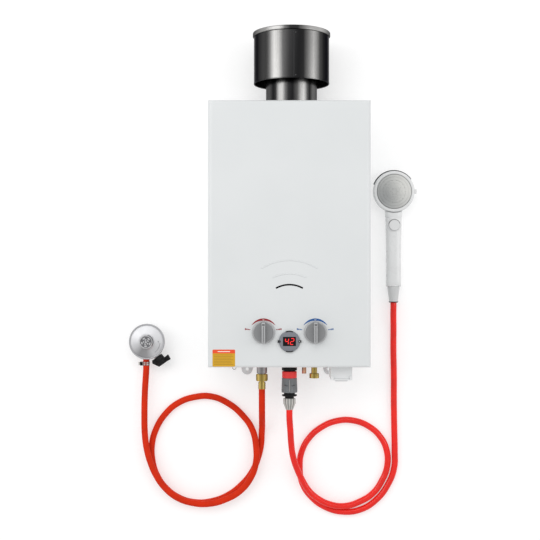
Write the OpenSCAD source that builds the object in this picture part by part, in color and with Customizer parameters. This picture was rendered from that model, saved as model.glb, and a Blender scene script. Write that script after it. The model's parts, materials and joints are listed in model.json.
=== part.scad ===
// Portable propane water heater, lying on its back with its hoses and handset laid out.
// +Z points out of the front panel, +Y points to the flue, +X to the right of the front.
// The origin is the centre of the casing's back face.

/* [Casing] */
// Width of the casing
case_w = 340; // [325:5:380]
// Height of the casing, bottom to top
case_h = 557; // [545:5:600]
// Depth of the casing, back to front panel
case_d = 165; // [160:5:190]
// Thickness of the sheet metal
sheet_t = 0.8; // [0.6:0.1:1.5]
// Rounding of the casing's long front edges
edge_r = 9; // [6:1:12]
// Rounding of the front panel's top and bottom edges
end_edge_r = 5; // [3:1:8]
// Distance of the hanging ears' holes from each other
ear_spacing = 183; // [160:1:200]
// Radius of the hanging holes
ear_hole_r = 3.5; // [2.5:0.5:5]

/* [Flue] */
// Outer radius of the flue pipe
flue_r = 55; // [45:1:60]
// Height of the flue's axis over the casing's back
flue_z = 85; // [80:1:95]
// Sideways place of the flue's axis
flue_x = 6; // [-10:1:10]
// Outer radius of the rain cap's drum
cap_r = 81; // [75:1:90]
// Length of the drum
cap_len = 101; // [80:1:120]
// Gap between the casing's top and the drum
cap_gap = 46; // [35:1:60]
// How far the lid stands out from the drum
lid_lip = 2.5; // [1:0.5:5]
// Thickness of the lid
lid_t = 9; // [6:1:14]

/* [Controls] */
// Distance between the knobs' axes
knob_spacing = 108; // [95:1:120]
// Distance of the knobs' axes from the casing's bottom edge
knob_up = 73.5; // [60:0.5:88]
// Radius of a knob's skirt
knob_r = 24; // [18:1:28]
// How far a knob stands out from the panel
knob_h = 25; // [18:1:32]
// Radius of a valve stem
stem_r = 4; // [3:0.5:5]
// Distance of the display's centre from the casing's bottom edge
display_up = 54.5; // [44:0.5:62]
// Radius of the display's bezel
bezel_r = 24; // [20:1:26]
// Distance of the flame slot's centre from the casing's bottom edge
slot_up = 115.5; // [105:0.5:130]
// Centre radius of the curved flame slot
slot_r = 57; // [50:1:65]
// Width of the flame slot
slot_w = 3.5; // [2.5:0.5:5]

/* [Fittings] */
// Height of the pipe fittings over the casing's back
pipe_z = 60; // [50:1:70]
// Sideways place of the gas inlet
gas_x = -58; // [-64:1:-54]
// Sideways place of the hot water outlet
outlet_x = 2; // [-4:1:6]
// Sideways place of the cold water inlet
inlet_x = 56; // [53:1:60]
// Sideways place of the relief tube
relief_x = 34; // [31:1:36]
// Radius over the water inlet's thread
inlet_thread_r = 10.4; // [9:0.1:13]
// Travel of the coupler's release sleeve
sleeve_travel = 4; // [2:0.5:4]

/* [Hoses] */
// Outer radius of both hoses
hose_r = 7; // [6:0.5:7]

/* [Regulator] */
// Radius of the regulator's rim
reg_r = 39.5; // [36:0.5:41]
// Height of the regulator's hose outlet over the floor
reg_z = 20; // [20:1:24]
// Thread radius of the regulator's inlet nut
reg_thread_r = 10.4; // [9:0.1:11]

/* [Handset] */
// Radius of the spray head
head_r = 46; // [42:1:50]
// Radius of the spray face
face_r = 37.5; // [33:0.5:39]
// Travel of the pause button
button_travel = 2.5; // [1.5:0.5:3]

/* [Hidden] */
$fn = 96;

fit = 0.06;      // running clearance of a shaft in its hole
gap = 0.3;       // clearance between pieces that only lie side by side

bottom_y = -case_h / 2;
top_y = case_h / 2;
rim_z = 1;       // the cover's rim stays just above the surface that the back lies on
back_t = 1.2;    // thickness of the back plate
panel_in = case_d - sheet_t;
knob_y = bottom_y + knob_up;
display_y = bottom_y + display_up;
slot_centre_y = bottom_y + slot_up;

// ---------- helpers ----------
module rod_y(r, x, y0, y1, z) { translate([x, y0, z]) rotate([-90, 0, 0]) cylinder(h = y1 - y0, r = r); }
module rod_x(r, x0, x1, y, z) { translate([x0, y, z]) rotate([0, 90, 0]) cylinder(h = x1 - x0, r = r); }
module rod_z(r, x, y, z0, z1) { translate([x, y, z0]) cylinder(h = z1 - z0, r = r); }
module box(x0, x1, y0, y1, z0, z1) { translate([x0, y0, z0]) cube([x1 - x0, y1 - y0, z1 - z0]); }
module hex_y(across, x, y0, y1, z) {
    translate([x, y0, z]) rotate([-90, 0, 0]) cylinder(h = y1 - y0, r = across / sqrt(3), $fn = 6);
}
// A profile with its foot on the axis and its two far corners rounded
module arch_profile(w, h, r) {
    translate([-w / 2, 0]) square([w, h - r]);
    translate([-w / 2 + r, 0]) square([w - 2 * r, h]);
    for (s = [-1, 1]) translate([s * (w / 2 - r), h - r]) circle(r);
}
module case_solid(w, l, z0, z1, r_side, r_end) {
    intersection() {
        translate([0, l / 2, z0]) rotate([90, 0, 0]) linear_extrude(l) arch_profile(w, z1 - z0, r_side);
        translate([-w / 2, 0, z0]) rotate([90, 0, 90]) linear_extrude(w) arch_profile(l, z1 - z0, r_end);
    }
}
// A band of a ring, centred on the +Y direction
module arc_band(r, w, half_angle, z0, z1) {
    translate([0, 0, z0]) rotate([0, 0, 90 - half_angle]) rotate_extrude(angle = 2 * half_angle)
        translate([r - w / 2, 0]) square([w, z1 - z0]);
    for (s = [-1, 1]) rotate([0, 0, 90 + s * half_angle]) translate([r, 0, z0]) cylinder(h = z1 - z0, d = w);
}
// A row of cylinders and spheres through a list of points: a bent pipe
module bent_pipe(points, r) {
    for (i = [0 : len(points) - 2]) {
        a = points[i];
        b = points[i + 1];
        d = b - a;
        l = norm(d);
        translate(a) rotate([0, acos(d.z / l), atan2(d.y, d.x)]) cylinder(h = l, r = r, $fn = 32);
        if (i > 0) translate(a) sphere(r, $fn = 32);
    }
}
// A tube swept along a route: one ring of corners per point, square to the way
function unit(v) = v / norm(v);
function heading(p, i) = i == 0 ? unit(p[1] - p[0])
    : i == len(p) - 1 ? unit(p[i] - p[i - 1]) : unit(unit(p[i + 1] - p[i]) + unit(p[i] - p[i - 1]));
function ring(c, t, r, sides) = let (side = unit(cross(t, [0, 0, 1])), up = cross(side, t))
    [for (k = [0 : sides - 1]) c + r * (cos(360 * k / sides) * up + sin(360 * k / sides) * side)];
function tube_points(p, r, sides) = [for (i = [0 : len(p) - 1]) each ring(p[i], heading(p, i), r, sides)];
function tube_faces(n, sides) = concat(
    [for (i = [0 : n - 2], k = [0 : sides - 1])
        [i * sides + k, i * sides + (k + 1) % sides, (i + 1) * sides + (k + 1) % sides]],
    [for (i = [0 : n - 2], k = [0 : sides - 1])
        [i * sides + k, (i + 1) * sides + (k + 1) % sides, (i + 1) * sides + k]],
    [[for (k = [sides - 1 : -1 : 0]) k]], [[for (k = [0 : sides - 1]) (n - 1) * sides + k]]);
module hose(route, r, sides) { polyhedron(tube_points(route, r, sides), tube_faces(len(route), sides)); }

// ---------- casing ----------
flue_hole_r = flue_r + 1;
slot_half = 28;
knob_x = knob_spacing / 2;
screw_x = case_w / 2 - 20;
screw_z = 12;
ear_hole_y = bottom_y - 18.5;
ear_end_r = 12.3;
ear_root_w = 34;
hang_y = top_y - 18;
back_flange = 22;
carrier_x = 70;
carrier_w = 24;

module back_plate() {
    color("gainsboro") difference() {
        union() {
            inner_w = case_w - 2 * sheet_t - 2 * gap;
            inner_h = case_h - 2 * sheet_t - 2 * gap;
            box(-inner_w / 2, inner_w / 2, -inner_h / 2, inner_h / 2, 0, back_t);
            for (s = [-1, 1]) {
                box(s > 0 ? inner_w / 2 - back_t : -inner_w / 2, s > 0 ? inner_w / 2 : -inner_w / 2 + back_t,
                    -inner_h / 2, inner_h / 2, 0, back_flange);
                // lower ears, narrower towards a round end, with a raised rim round the hole
                translate([s * ear_spacing / 2, 0, 0]) {
                    hull() {
                        box(-ear_root_w / 2, ear_root_w / 2, bottom_y + 4, bottom_y + 5, 0, back_t);
                        rod_z(ear_end_r, 0, ear_hole_y, 0, back_t, $fn = 48);
                    }
                    rod_z(ear_hole_r + 3.5, 0, ear_hole_y, 0, back_t + 1.2);
                }
            }
            // Z-shaped carriers of the combustion chamber
            for (s = [-1, 1], y = [chamber_y0 + 4, chamber_y1 - 16]) translate([s * carrier_x, 0, 0]) {
                box(-carrier_w / 2, -carrier_w / 2 + back_t, y, y + 20, 0, chamber_z0);
                box(carrier_w / 2 - back_t, carrier_w / 2, y, y + 20, 0, chamber_z0);
                box(-carrier_w / 2, carrier_w / 2, y, y + 20, chamber_z0 - back_t, chamber_z0);
            }
        }
        for (s = [-1, 1]) {
            rod_z(ear_hole_r, s * ear_spacing / 2, ear_hole_y, -1, 5);
            rod_z(ear_hole_r, s * ear_spacing / 2, hang_y, -1, 5);
        }
    }
}

module case_shell() {
    difference() {
        case_solid(case_w, case_h, rim_z, case_d, edge_r, end_edge_r);
        case_solid(case_w - 2 * sheet_t, case_h - 2 * sheet_t, rim_z - 1, panel_in,
            edge_r - sheet_t, end_edge_r - sheet_t);
    }
}
module front_cover() {
    color("whitesmoke") difference() {
        union() {
            case_shell();
            // raised arcs over the flame slot
            translate([0, slot_centre_y, 0]) {
                arc_band(80, 2.4, 25, case_d - 0.5, case_d + 0.7);
                arc_band(108, 2.4, 32, case_d - 0.5, case_d + 0.7);
            }
        }
        translate([0, slot_centre_y, 0]) arc_band(slot_r, slot_w, slot_half, panel_in - 2, case_d + 2);
        for (s = [-1, 1]) rod_z(stem_r + 3, s * knob_x, knob_y, panel_in - 2, case_d + 2);
        rod_z(bezel_r - 4, 0, display_y, panel_in - 2, case_d + 2);
        rod_y(flue_hole_r, flue_x, top_y - 4, top_y + 2, flue_z);
        // ways out for the fittings
        rod_y(12, gas_x, bottom_y - 2, bottom_y + 4, pipe_z);
        rod_y(13, outlet_x, bottom_y - 2, bottom_y + 4, pipe_z);
        rod_y(5.5, relief_x, bottom_y - 2, bottom_y + 4, pipe_z);
        rod_y(9, inlet_x, bottom_y - 2, bottom_y + 4, pipe_z);
        box(batt_x0 - gap, batt_x1 + gap, bottom_y - 2, bottom_y + 4, batt_z0 - gap, batt_z1 + gap);
        // ears of the back plate pass below the cover
        for (s = [-1, 1]) translate([s * ear_spacing / 2, 0, 0])
            box(-ear_root_w / 2 - gap, ear_root_w / 2 + gap, bottom_y - 2, bottom_y + 4, rim_z - 1,
                back_t + gap);
        // air slots low and high on both sides
        for (s = [-1, 1], row = [bottom_y + 78.5, top_y - 148.5], k = [0 : 6])
            translate([s * case_w / 2, row + k * 12, case_d / 2 + 7])
                cube([2 * edge_r, 4, 44], center = true);
        // air slots in the bottom, in front of the fittings
        for (k = [0 : 4], s = [-1, 1])
            translate([s * 28, bottom_y, case_d - 65 + k * 11]) cube([44, 2 * end_edge_r, 4], center = true);
        // screw holes at the bottom rim
        for (s = [-1, 1]) rod_y(1.7, s * screw_x, bottom_y - 2, bottom_y + 4, screw_z);
    }
}
module cover_screws() {
    color("silver") for (s = [-1, 1]) {
        rod_y(1.6, s * screw_x, bottom_y, bottom_y + 8, screw_z);
        difference() {
            rod_y(3.6, s * screw_x, bottom_y - 2.2, bottom_y, screw_z);
            // cross recess
            box(s * screw_x - 2, s * screw_x + 2, bottom_y - 3, bottom_y - 1.2, screw_z - 0.4, screw_z + 0.4);
            box(s * screw_x - 0.4, s * screw_x + 0.4, bottom_y - 3, bottom_y - 1.2, screw_z - 2, screw_z + 2);
        }
    }
}
// Small wire eye that hangs below the casing
eye_r = 3.8;
module hanging_eye() {
    color("dimgray") translate([-case_w / 2 + 51, bottom_y, 40]) {
        rod_y(3.2, 0, -1.2, 0, 0);
        rod_y(1, 0, -12 + eye_r, -1, 0);
        translate([0, -12, 0]) rotate_extrude() translate([eye_r, 0]) circle(0.9, $fn = 24);
    }
}
module flame_window() {
    color("dimgray", 0.7) translate([0, slot_centre_y, 0])
        arc_band(slot_r, slot_w + 12, slot_half + 4, panel_in - 3.3, panel_in - gap);
}

// ---------- flue and rain cap ----------
cap_y0 = top_y + cap_gap;
cap_y1 = cap_y0 + cap_len;
flue_top = cap_y0 + cap_len * 0.62;
module turned_y(y) { translate([flue_x, y, flue_z]) rotate([-90, 0, 0]) rotate_extrude() children(); }

module flue_pipe() {
    pipe_y0 = top_y - 12;
    color("lightgray") turned_y(pipe_y0) difference() {
        union() {
            translate([flue_r - 0.8, 0]) square([0.8, flue_top - pipe_y0]);
            // bead that sits on the casing's top
            translate([flue_r - 0.8, 12]) square([5.8, 2]);
        }
        translate([0, -1]) square([flue_r - 1, 1]);
    }
}
module cap_shell() {
    color("dimgray") turned_y(cap_y0) union() {
        translate([cap_r - 0.8, 0]) square([0.8, cap_len]);
        // rolled lower edge
        translate([cap_r - 0.8, 1.2]) circle(1.2, $fn = 24);
    }
}
module cap_lid() {
    color("lightgray") turned_y(cap_y1 + gap) union() {
        lid_r = cap_r + lid_lip;
        difference() {
            union() {
                square([lid_r - 2, lid_t]);
                translate([0, 2]) square([lid_r, lid_t - 4]);
                for (y = [2, lid_t - 2]) translate([lid_r - 2, y]) circle(2, $fn = 32);
            }
            // hollow under the folded edge
            translate([0, -1]) square([cap_r - 6, lid_t]);
            translate([0, 1.2]) square([lid_r - 1.4, lid_t - 2.4]);
        }
    }
}
// Four straps carry the drum on the pipe
module cap_brackets() {
    color("silver") for (a = [45 : 90 : 315]) translate([flue_x, 0, flue_z]) rotate([0, a, 0]) {
        box(flue_r + 0.05, cap_r - 1.5, cap_y0 + 30, cap_y0 + 31.5, -8, 8);
        box(flue_r + 0.05, flue_r + 1.5, cap_y0 + 14, cap_y0 + 31.5, -8, 8);
        box(cap_r - 3, cap_r - 1.5, cap_y0 + 30, cap_y0 + 46, -8, 8);
    }
}

// ---------- burner, chamber, exchanger, hood ----------
chamber_w = 220;
chamber_z0 = 34;
chamber_z1 = case_d - 33;
chamber_y0 = bottom_y + 264.5;
chamber_y1 = chamber_y0 + 140;
chamber_t = 0.8;
fins_y1 = chamber_y1 + 52;
fin_pitch = 10;
fin_t = 0.8;
tube_r = 7;
tube_y = chamber_y1 + 26;
tube_z0 = chamber_z0 + 16;
tube_pitch = (chamber_z1 - 14 - tube_z0) / 4;
tube_z1 = tube_z0 + 4 * tube_pitch;
bend_w = 8;
tray_h = 46;
tray_t = 1.2;
jet_z = chamber_z0 + 20;
bar_count = 9;
bar_pitch = 22;
bar_w = 12;
bar_t = 0.8;

module combustion_chamber() {
    color("chocolate") difference() {
        box(-chamber_w / 2, chamber_w / 2, chamber_y0, chamber_y1, chamber_z0, chamber_z1);
        box(-chamber_w / 2 + chamber_t, chamber_w / 2 - chamber_t, chamber_y0 - 1, chamber_y1 + 1,
            chamber_z0 + chamber_t, chamber_z1 - chamber_t);
    }
}
module heat_exchanger() {
    color("peru") {
        difference() {
            box(-chamber_w / 2, chamber_w / 2, chamber_y1, fins_y1, chamber_z0, chamber_z1);
            // slots between the fins
            for (x = [-chamber_w / 2 + 5 : fin_pitch : chamber_w / 2 - fin_pitch - 4])
                box(x, x + fin_pitch - fin_t, chamber_y1 - 1, fins_y1 + 1, chamber_z0 + 2, chamber_z1 - 2);
        }
        // water tubes and their return bends
        for (z = [tube_z0 : tube_pitch : tube_z1 + 1])
            rod_x(tube_r, -chamber_w / 2 - bend_w, chamber_w / 2 + bend_w, tube_y, z);
        for (k = [0 : 3]) {
            x = k % 2 == 0 ? chamber_w / 2 + bend_w - 6 : -chamber_w / 2 - bend_w;
            z = tube_z0 + k * tube_pitch;
            box(x, x + 6, tube_y - tube_r, tube_y + tube_r, z, z + tube_pitch);
        }
    }
}
module exhaust_hood() {
    color("silver") difference() {
        hull() {
            box(-chamber_w / 2, chamber_w / 2, fins_y1 + gap, fins_y1 + 14, chamber_z0, chamber_z1);
            rod_y(flue_r - 1, flue_x, top_y - 16, top_y - 12 - gap, flue_z, $fn = 32);
        }
        hull() {
            box(-chamber_w / 2 + chamber_t, chamber_w / 2 - chamber_t, fins_y1 - 1, fins_y1 + 13,
                chamber_z0 + chamber_t, chamber_z1 - chamber_t);
            rod_y(flue_r - 2.5, flue_x, top_y - 16, top_y - 11, flue_z, $fn = 32);
        }
    }
}
function bar_x(k) = (k - (bar_count - 1) / 2) * bar_pitch;
module burner_tray() {
    color("silver") difference() {
        box(-chamber_w / 2, chamber_w / 2, chamber_y0 - tray_h, chamber_y0 - gap, chamber_z0, chamber_z1);
        box(-chamber_w / 2 + tray_t, chamber_w / 2 - tray_t, chamber_y0 - tray_h + tray_t, chamber_y0 + 1,
            chamber_z0 + tray_t, chamber_z1 - tray_t);
        // mouths over the jets
        for (k = [0 : bar_count - 1])
            rod_y(5, bar_x(k), chamber_y0 - tray_h - 2, chamber_y0 - tray_h + 6, jet_z);
    }
}
module burner_bars() {
    bar_y0 = chamber_y0 - tray_h + tray_t + gap;
    bar_y1 = chamber_y0 - 12;
    bar_z0 = chamber_z0 + 10;
    bar_z1 = chamber_z1 - 8;
    color("lightsteelblue") for (k = [0 : bar_count - 1]) translate([bar_x(k), 0, 0]) difference() {
        box(-bar_w / 2, bar_w / 2, bar_y0, bar_y1, bar_z0, bar_z1);
        box(-bar_w / 2 + bar_t, bar_w / 2 - bar_t, bar_y0 + bar_t, bar_y1 - bar_t, bar_z0 + bar_t,
            bar_z1 - bar_t);
        // mouth over the jet and flame ports across the top
        rod_y(4.5, 0, bar_y0 - 1, bar_y0 + 4, jet_z);
        for (z = [bar_z0 + 6 : 8 : bar_z1 - 8]) box(-3, 3, bar_y1 - 4, bar_y1 + 1, z, z + 3);
    }
}
manifold_r = 8;
manifold_y = chamber_y0 - tray_h - 10;
module gas_manifold() {
    color("darkkhaki") {
        rod_x(manifold_r, -chamber_w / 2 + 8, chamber_w / 2 - 8, manifold_y, jet_z);
        // jets that point up into the bars
        for (k = [0 : bar_count - 1])
            hex_y(7, bar_x(k), manifold_y + manifold_r - 2, chamber_y0 - tray_h - gap, jet_z);
    }
}
module electrodes() {
    color("white") for (x = [-14, 14]) {
        rod_y(3, x, chamber_y0 - tray_h, chamber_y0 - 8, chamber_z1 + 4.2);
        rod_y(1, x, chamber_y0 - 8, chamber_y0 + 6, chamber_z1 + 4.2);
    }
    color("silver") box(-22, 22, chamber_y0 - 40, chamber_y0 - 26, chamber_z1 + gap, chamber_z1 + 1.3);
}
module thermal_cutout() {
    color("black") rod_z(8, 60, chamber_y1 - 20, chamber_z1 + gap, chamber_z1 + 7);
    color("silver") box(48, 72, chamber_y1 - 24, chamber_y1 - 16, chamber_z1 + gap, chamber_z1 + 1.5);
}

// ---------- valves, pipes and electric parts ----------
valve_z1 = case_d - 32;
stem_top = case_d + 13;
module valve_stem(x) {
    color("silver") difference() {
        union() {
            rod_z(stem_r, x, knob_y, valve_z1 - 14, stem_top);
            rod_z(stem_r + 3, x, knob_y, valve_z1 + gap, valve_z1 + 2);
        }
        // flat that keys the knob
        box(x - stem_r, x + stem_r, knob_y + stem_r - 1, knob_y + stem_r + 1, case_d + 2, stem_top + 1);
    }
}
module stem_socket(x) { rod_z(stem_r + fit, x, knob_y, valve_z1 - 14 - fit, valve_z1 + 1); }
module gas_valve_body() {
    color("lightgray") difference() {
        union() {
            box(-knob_x - 26, -knob_x + 22, knob_y - 34, knob_y + 36, 26, valve_z1 - 30);
            rod_z(18, -knob_x, knob_y, valve_z1 - 32, valve_z1);
            box(-knob_x - 30, -knob_x + 26, knob_y - 20, knob_y + 20, back_t, 27);
        }
        stem_socket(-knob_x);
    }
}
module solenoid() {
    color("dimgray") {
        rod_y(11, -knob_x - 2, knob_y + 36.3, knob_y + 66, 84);
        box(-knob_x - 15, -knob_x + 11, knob_y + 36.3, knob_y + 60, 71, 97);
    }
}
module water_valve_body() {
    color("darkgoldenrod") difference() {
        union() {
            box(knob_x - 26, knob_x + 24, knob_y - 30, knob_y + 12, 26, valve_z1 - 30);
            rod_z(16, knob_x, knob_y, valve_z1 - 32, valve_z1);
            // diaphragm housing
            rod_x(26, knob_x - 20, knob_x + 8, knob_y + 34, 70);
            box(knob_x - 24, knob_x + 20, knob_y - 20, knob_y + 20, back_t, 27);
        }
        stem_socket(knob_x);
        rod_x(2.5 + fit, knob_x - 30, knob_x - 8, knob_y + 34, 70);
    }
}
// Pushes the gas valve open when water flows
module diaphragm_rod() { color("silver") rod_x(2.5, -knob_x + 40, knob_x - 9, knob_y + 34, 70); }
module microswitch() {
    color("black") {
        box(knob_x - 19, knob_x - 5, knob_y + 20, knob_y + 48, 96 + gap, 108);
        box(knob_x - 26, knob_x - 19, knob_y + 30, knob_y + 38, 100, 101);
    }
}
pipe_r = 6;
riser_x = max(chamber_w / 2, case_w / 2 - 60) + bend_w + 16;
hot_low_z = 22;
hot_low_y = knob_y + 95;
hot_turn_y = bottom_y + 38.5;
module cold_pipe() {
    color("chocolate") bent_pipe([[knob_x + 24, knob_y, tube_z0], [riser_x, knob_y, tube_z0],
        [riser_x, tube_y, tube_z0], [chamber_w / 2 + bend_w, tube_y, tube_z0]], pipe_r);
}
module hot_pipe() {
    color("chocolate") bent_pipe([[-chamber_w / 2 - bend_w, tube_y, tube_z1], [-riser_x, tube_y, tube_z1],
        [-riser_x, hot_low_y, tube_z1], [-riser_x, hot_low_y, hot_low_z], [outlet_x, hot_low_y, hot_low_z],
        [outlet_x, hot_turn_y, hot_low_z], [outlet_x, hot_turn_y, pipe_z],
        [outlet_x, bottom_y + 8, pipe_z]], pipe_r);
}
module gas_pipe() {
    color("darkkhaki") rod_y(pipe_r, -knob_x, knob_y + 36, manifold_y - manifold_r, jet_z);
}
igniter_x = case_w / 2 - 39;
igniter_y = knob_y + 85;
igniter_top = 40;
module pulse_igniter() {
    color("black") {
        box(igniter_x - 25, igniter_x + 25, igniter_y - 30, igniter_y + 30, back_t, igniter_top);
        // sockets of the ignition leads
        for (y = [igniter_y - 15, igniter_y + 15])
            rod_z(4, igniter_x - 15, y, igniter_top - 1, igniter_top + 8);
    }
}
module display_board() {
    color("darkgreen") difference() {
        rod_z(19, 0, display_y, case_d - 9, case_d - 7);
        box(-9, 9, display_y - 30, display_y - 17, case_d - 10, case_d - 6);
    }
    color("black") box(-12, 12, display_y - 8, display_y + 8, case_d - 7, case_d - 4.2);
}

// Box for two round cells; its door hangs from the front edge
batt_x1 = case_w / 2 - 36;
batt_x0 = batt_x1 - 45;
batt_z1 = case_d - 41;
batt_z0 = batt_z1 - 72;
batt_y0 = bottom_y - 27.5;
cell_r = 17;
module cell_places() {
    for (z = [batt_z0 + 18, batt_z1 - 18]) translate([(batt_x0 + batt_x1) / 2, 0, z]) children();
}
module battery_box() {
    color("white") difference() {
        union() {
            box(batt_x0, batt_x1, batt_y0, bottom_y + 46, batt_z0, batt_z1);
            box(batt_x0, batt_x1, bottom_y + 4.3, bottom_y + 46, back_t, batt_z0 + 1);
            battery_lugs();
        }
        box(batt_x0 + 1.5, batt_x1 - 1.5, batt_y0 - 1, bottom_y + 44, batt_z0 + 1.5, batt_z1 - 1.5);
    }
}
module batteries() {
    color("darkolivegreen") cell_places() {
        rod_y(cell_r - 0.5, 0, batt_y0 + 1, batt_y0 + 59, 0);
        rod_y(4.7, 0, batt_y0 + 59, batt_y0 + 61, 0);
    }
}
spring_wire_r = 0.8;
spring_steps = 12;
// A cone-shaped spring of round wire along Y
module cone_spring(r0, r1, y0, y1, turns) {
    n = turns * spring_steps;
    points = [for (i = [0 : n]) let (f = i / n, a = 360 * i / spring_steps, r = r0 + (r1 - r0) * f,
        out = [cos(a), 0, sin(a)]) each [for (k = [0 : 5]) r * out + [0, y0 + (y1 - y0) * f, 0]
            + spring_wire_r * (cos(60 * k) * out + sin(60 * k) * [0, 1, 0])]];
    polyhedron(points, tube_faces(n + 1, 6));
}
module battery_springs() {
    color("silver") cell_places()
        cone_spring(4.5, 9, batt_y0 + 61.3 + spring_wire_r, bottom_y + 43.8 - spring_wire_r, 3.5);
}
door_hinge_y = batt_y0 - 1.6;
door_hinge_z = batt_z1 + 1.6;
lug_w = 5.7;
module battery_lugs() {
    for (x = [batt_x0, batt_x1 - lug_w]) {
        box(x, x + lug_w, batt_y0 - 0.2, batt_y0 + 6, batt_z1 - 0.5, batt_z1 + 3);
        rod_x(1.4, x, x + lug_w, door_hinge_y, door_hinge_z);
        box(x, x + lug_w, door_hinge_y, batt_y0, door_hinge_z - 1.4, door_hinge_z + 1.4);
    }
    rod_x(0.8, batt_x0 + 1, batt_x1 - 1, door_hinge_y, door_hinge_z);
}
module battery_door() {
    color("white") difference() {
        union() {
            box(batt_x0, batt_x1, batt_y0 - 2.6, batt_y0 - gap, batt_z0, batt_z1 - gap);
            box(batt_x0 + 6.5, batt_x1 - 6.5, batt_y0 - 2.6, batt_y0 - gap, batt_z1 - 2, batt_z1 + 1);
            box(batt_x0 + 10, batt_x1 - 9, batt_y0 - 7, batt_y0 - 2.6, batt_z0 + 12, batt_z1 - 12);
            rod_x(1.6, batt_x0 + 6, batt_x1 - 6, door_hinge_y, door_hinge_z);
        }
        rod_x(0.8 + fit, batt_x0, batt_x1, door_hinge_y, door_hinge_z);
    }
}

// ---------- knobs and display ----------
module knob(x) {
    color("lightslategray") translate([x, knob_y, case_d + 1]) difference() {
        union() {
            rotate_extrude() {
                square([knob_r, 3]);
                square([knob_r - 1, 4]);
                square([knob_r - 3, 12]);
            }
            // grip bar, a little longer towards the bottom
            intersection() {
                translate([-5, -knob_r + 2, 4]) cube([10, 2 * knob_r - 5, knob_h - 5]);
                union() {
                    cylinder(h = knob_h - 5, r = knob_r - 2);
                    translate([0, 0, knob_h - 5.01]) cylinder(h = 4.01, r1 = knob_r - 2, r2 = knob_r - 6);
                }
            }
            translate([-1, knob_r - 7, 3]) cube([2, 5, 2]);
        }
        translate([0, 0, -1]) cylinder(h = stem_top - case_d + 0.4, r = stem_r + 0.05);
    }
}
module display_bezel() {
    color("gray") difference() {
        union() {
            rod_z(bezel_r, 0, display_y, case_d, case_d + 4);
            rod_z(bezel_r - 4 - gap, 0, display_y, case_d - 6, case_d + 1);
            for (s = [-1, 1]) rod_z(3.6, s * bezel_r, display_y, case_d, case_d + 3);
        }
        translate([-13.4, display_y - 9.5, case_d - 8]) cube([26.8, 19, 20]);
        // notches at the top and the bottom
        for (s = [-1, 1]) box(-5, 5, display_y + s * bezel_r - 2.5, display_y + s * bezel_r + 2.5,
            case_d + 1.5, case_d + 5);
        for (s = [-1, 1]) rod_z(1.5, s * bezel_r, display_y, case_d + 1.5, case_d + 5);
    }
}
module display_lens() {
    color("black") translate([-13.1, display_y - 9.2, case_d - 3.9]) cube([26.2, 18.4, 6.9]);
}

// ---------- fittings below the casing ----------
gas_end_y = bottom_y - 56.5;
sleeve_len = 46;
sleeve_y0 = bottom_y - 63.5;
flange_y1 = sleeve_y0 - sleeve_travel - 1;
flange_y0 = flange_y1 - 3;
outlet_end_y = flange_y0 - 30;
module gas_inlet() {
    color("silver") {
        rod_y(11.35, gas_x, bottom_y - 21.5, bottom_y - 6, pipe_z);
        rod_y(9, gas_x, bottom_y - 10, knob_y - 34, pipe_z);
        rod_y(8, gas_x, bottom_y - 34, bottom_y - 20, pipe_z);
    }
}
module hose_swivel_nut() {
    color("darkgoldenrod") difference() {
        intersection() {
            hex_y(22, gas_x, bottom_y - 39, bottom_y - 23.5, pipe_z);
            // the corners are turned down at both ends
            translate([gas_x, bottom_y - 39, pipe_z]) rotate([-90, 0, 0]) union() {
                cylinder(h = 2, r1 = 11.2, r2 = 12.8);
                translate([0, 0, 2]) cylinder(h = 11.5, r = 12.8);
                translate([0, 0, 13.5]) cylinder(h = 2, r1 = 12.8, r2 = 11.2);
            }
        }
        rod_y(8 + gap, gas_x, bottom_y - 34 - gap, bottom_y - 20, pipe_z);
        rod_y(5.6, gas_x, bottom_y - 40, bottom_y - 30, pipe_z);
    }
}
module hose_ferrule() {
    color("darkgoldenrod") {
        rod_y(5.5, gas_x, bottom_y - 42, bottom_y - 34.3, pipe_z);
        rod_y(7.65, gas_x, gas_end_y, bottom_y - 41.5, pipe_z);
        for (k = [0 : 2]) rod_y(7.9, gas_x, gas_end_y + 2 + k * 4.5, gas_end_y + 4 + k * 4.5, pipe_z);
    }
}
core_r = 12;
module water_outlet() {
    color("black") {
        rod_y(16.6, outlet_x, bottom_y - 15.5, bottom_y - 9.5, pipe_z);
        rod_y(11, outlet_x, bottom_y - 10, bottom_y + 8, pipe_z);
        rod_y(8, outlet_x, bottom_y - 40, bottom_y - 15, pipe_z);
    }
}
module coupler_tail() {
    color("black") difference() {
        union() {
            rod_y(core_r, outlet_x, flange_y1 - 1, bottom_y - 15.8, pipe_z);
            rod_y(16.25, outlet_x, flange_y0, flange_y1, pipe_z);
            rod_y(10, outlet_x, flange_y0 - 5, flange_y0 + 1, pipe_z);
        }
        rod_y(8 + fit, outlet_x, bottom_y - 40.3, bottom_y - 15, pipe_z);
    }
}
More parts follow.
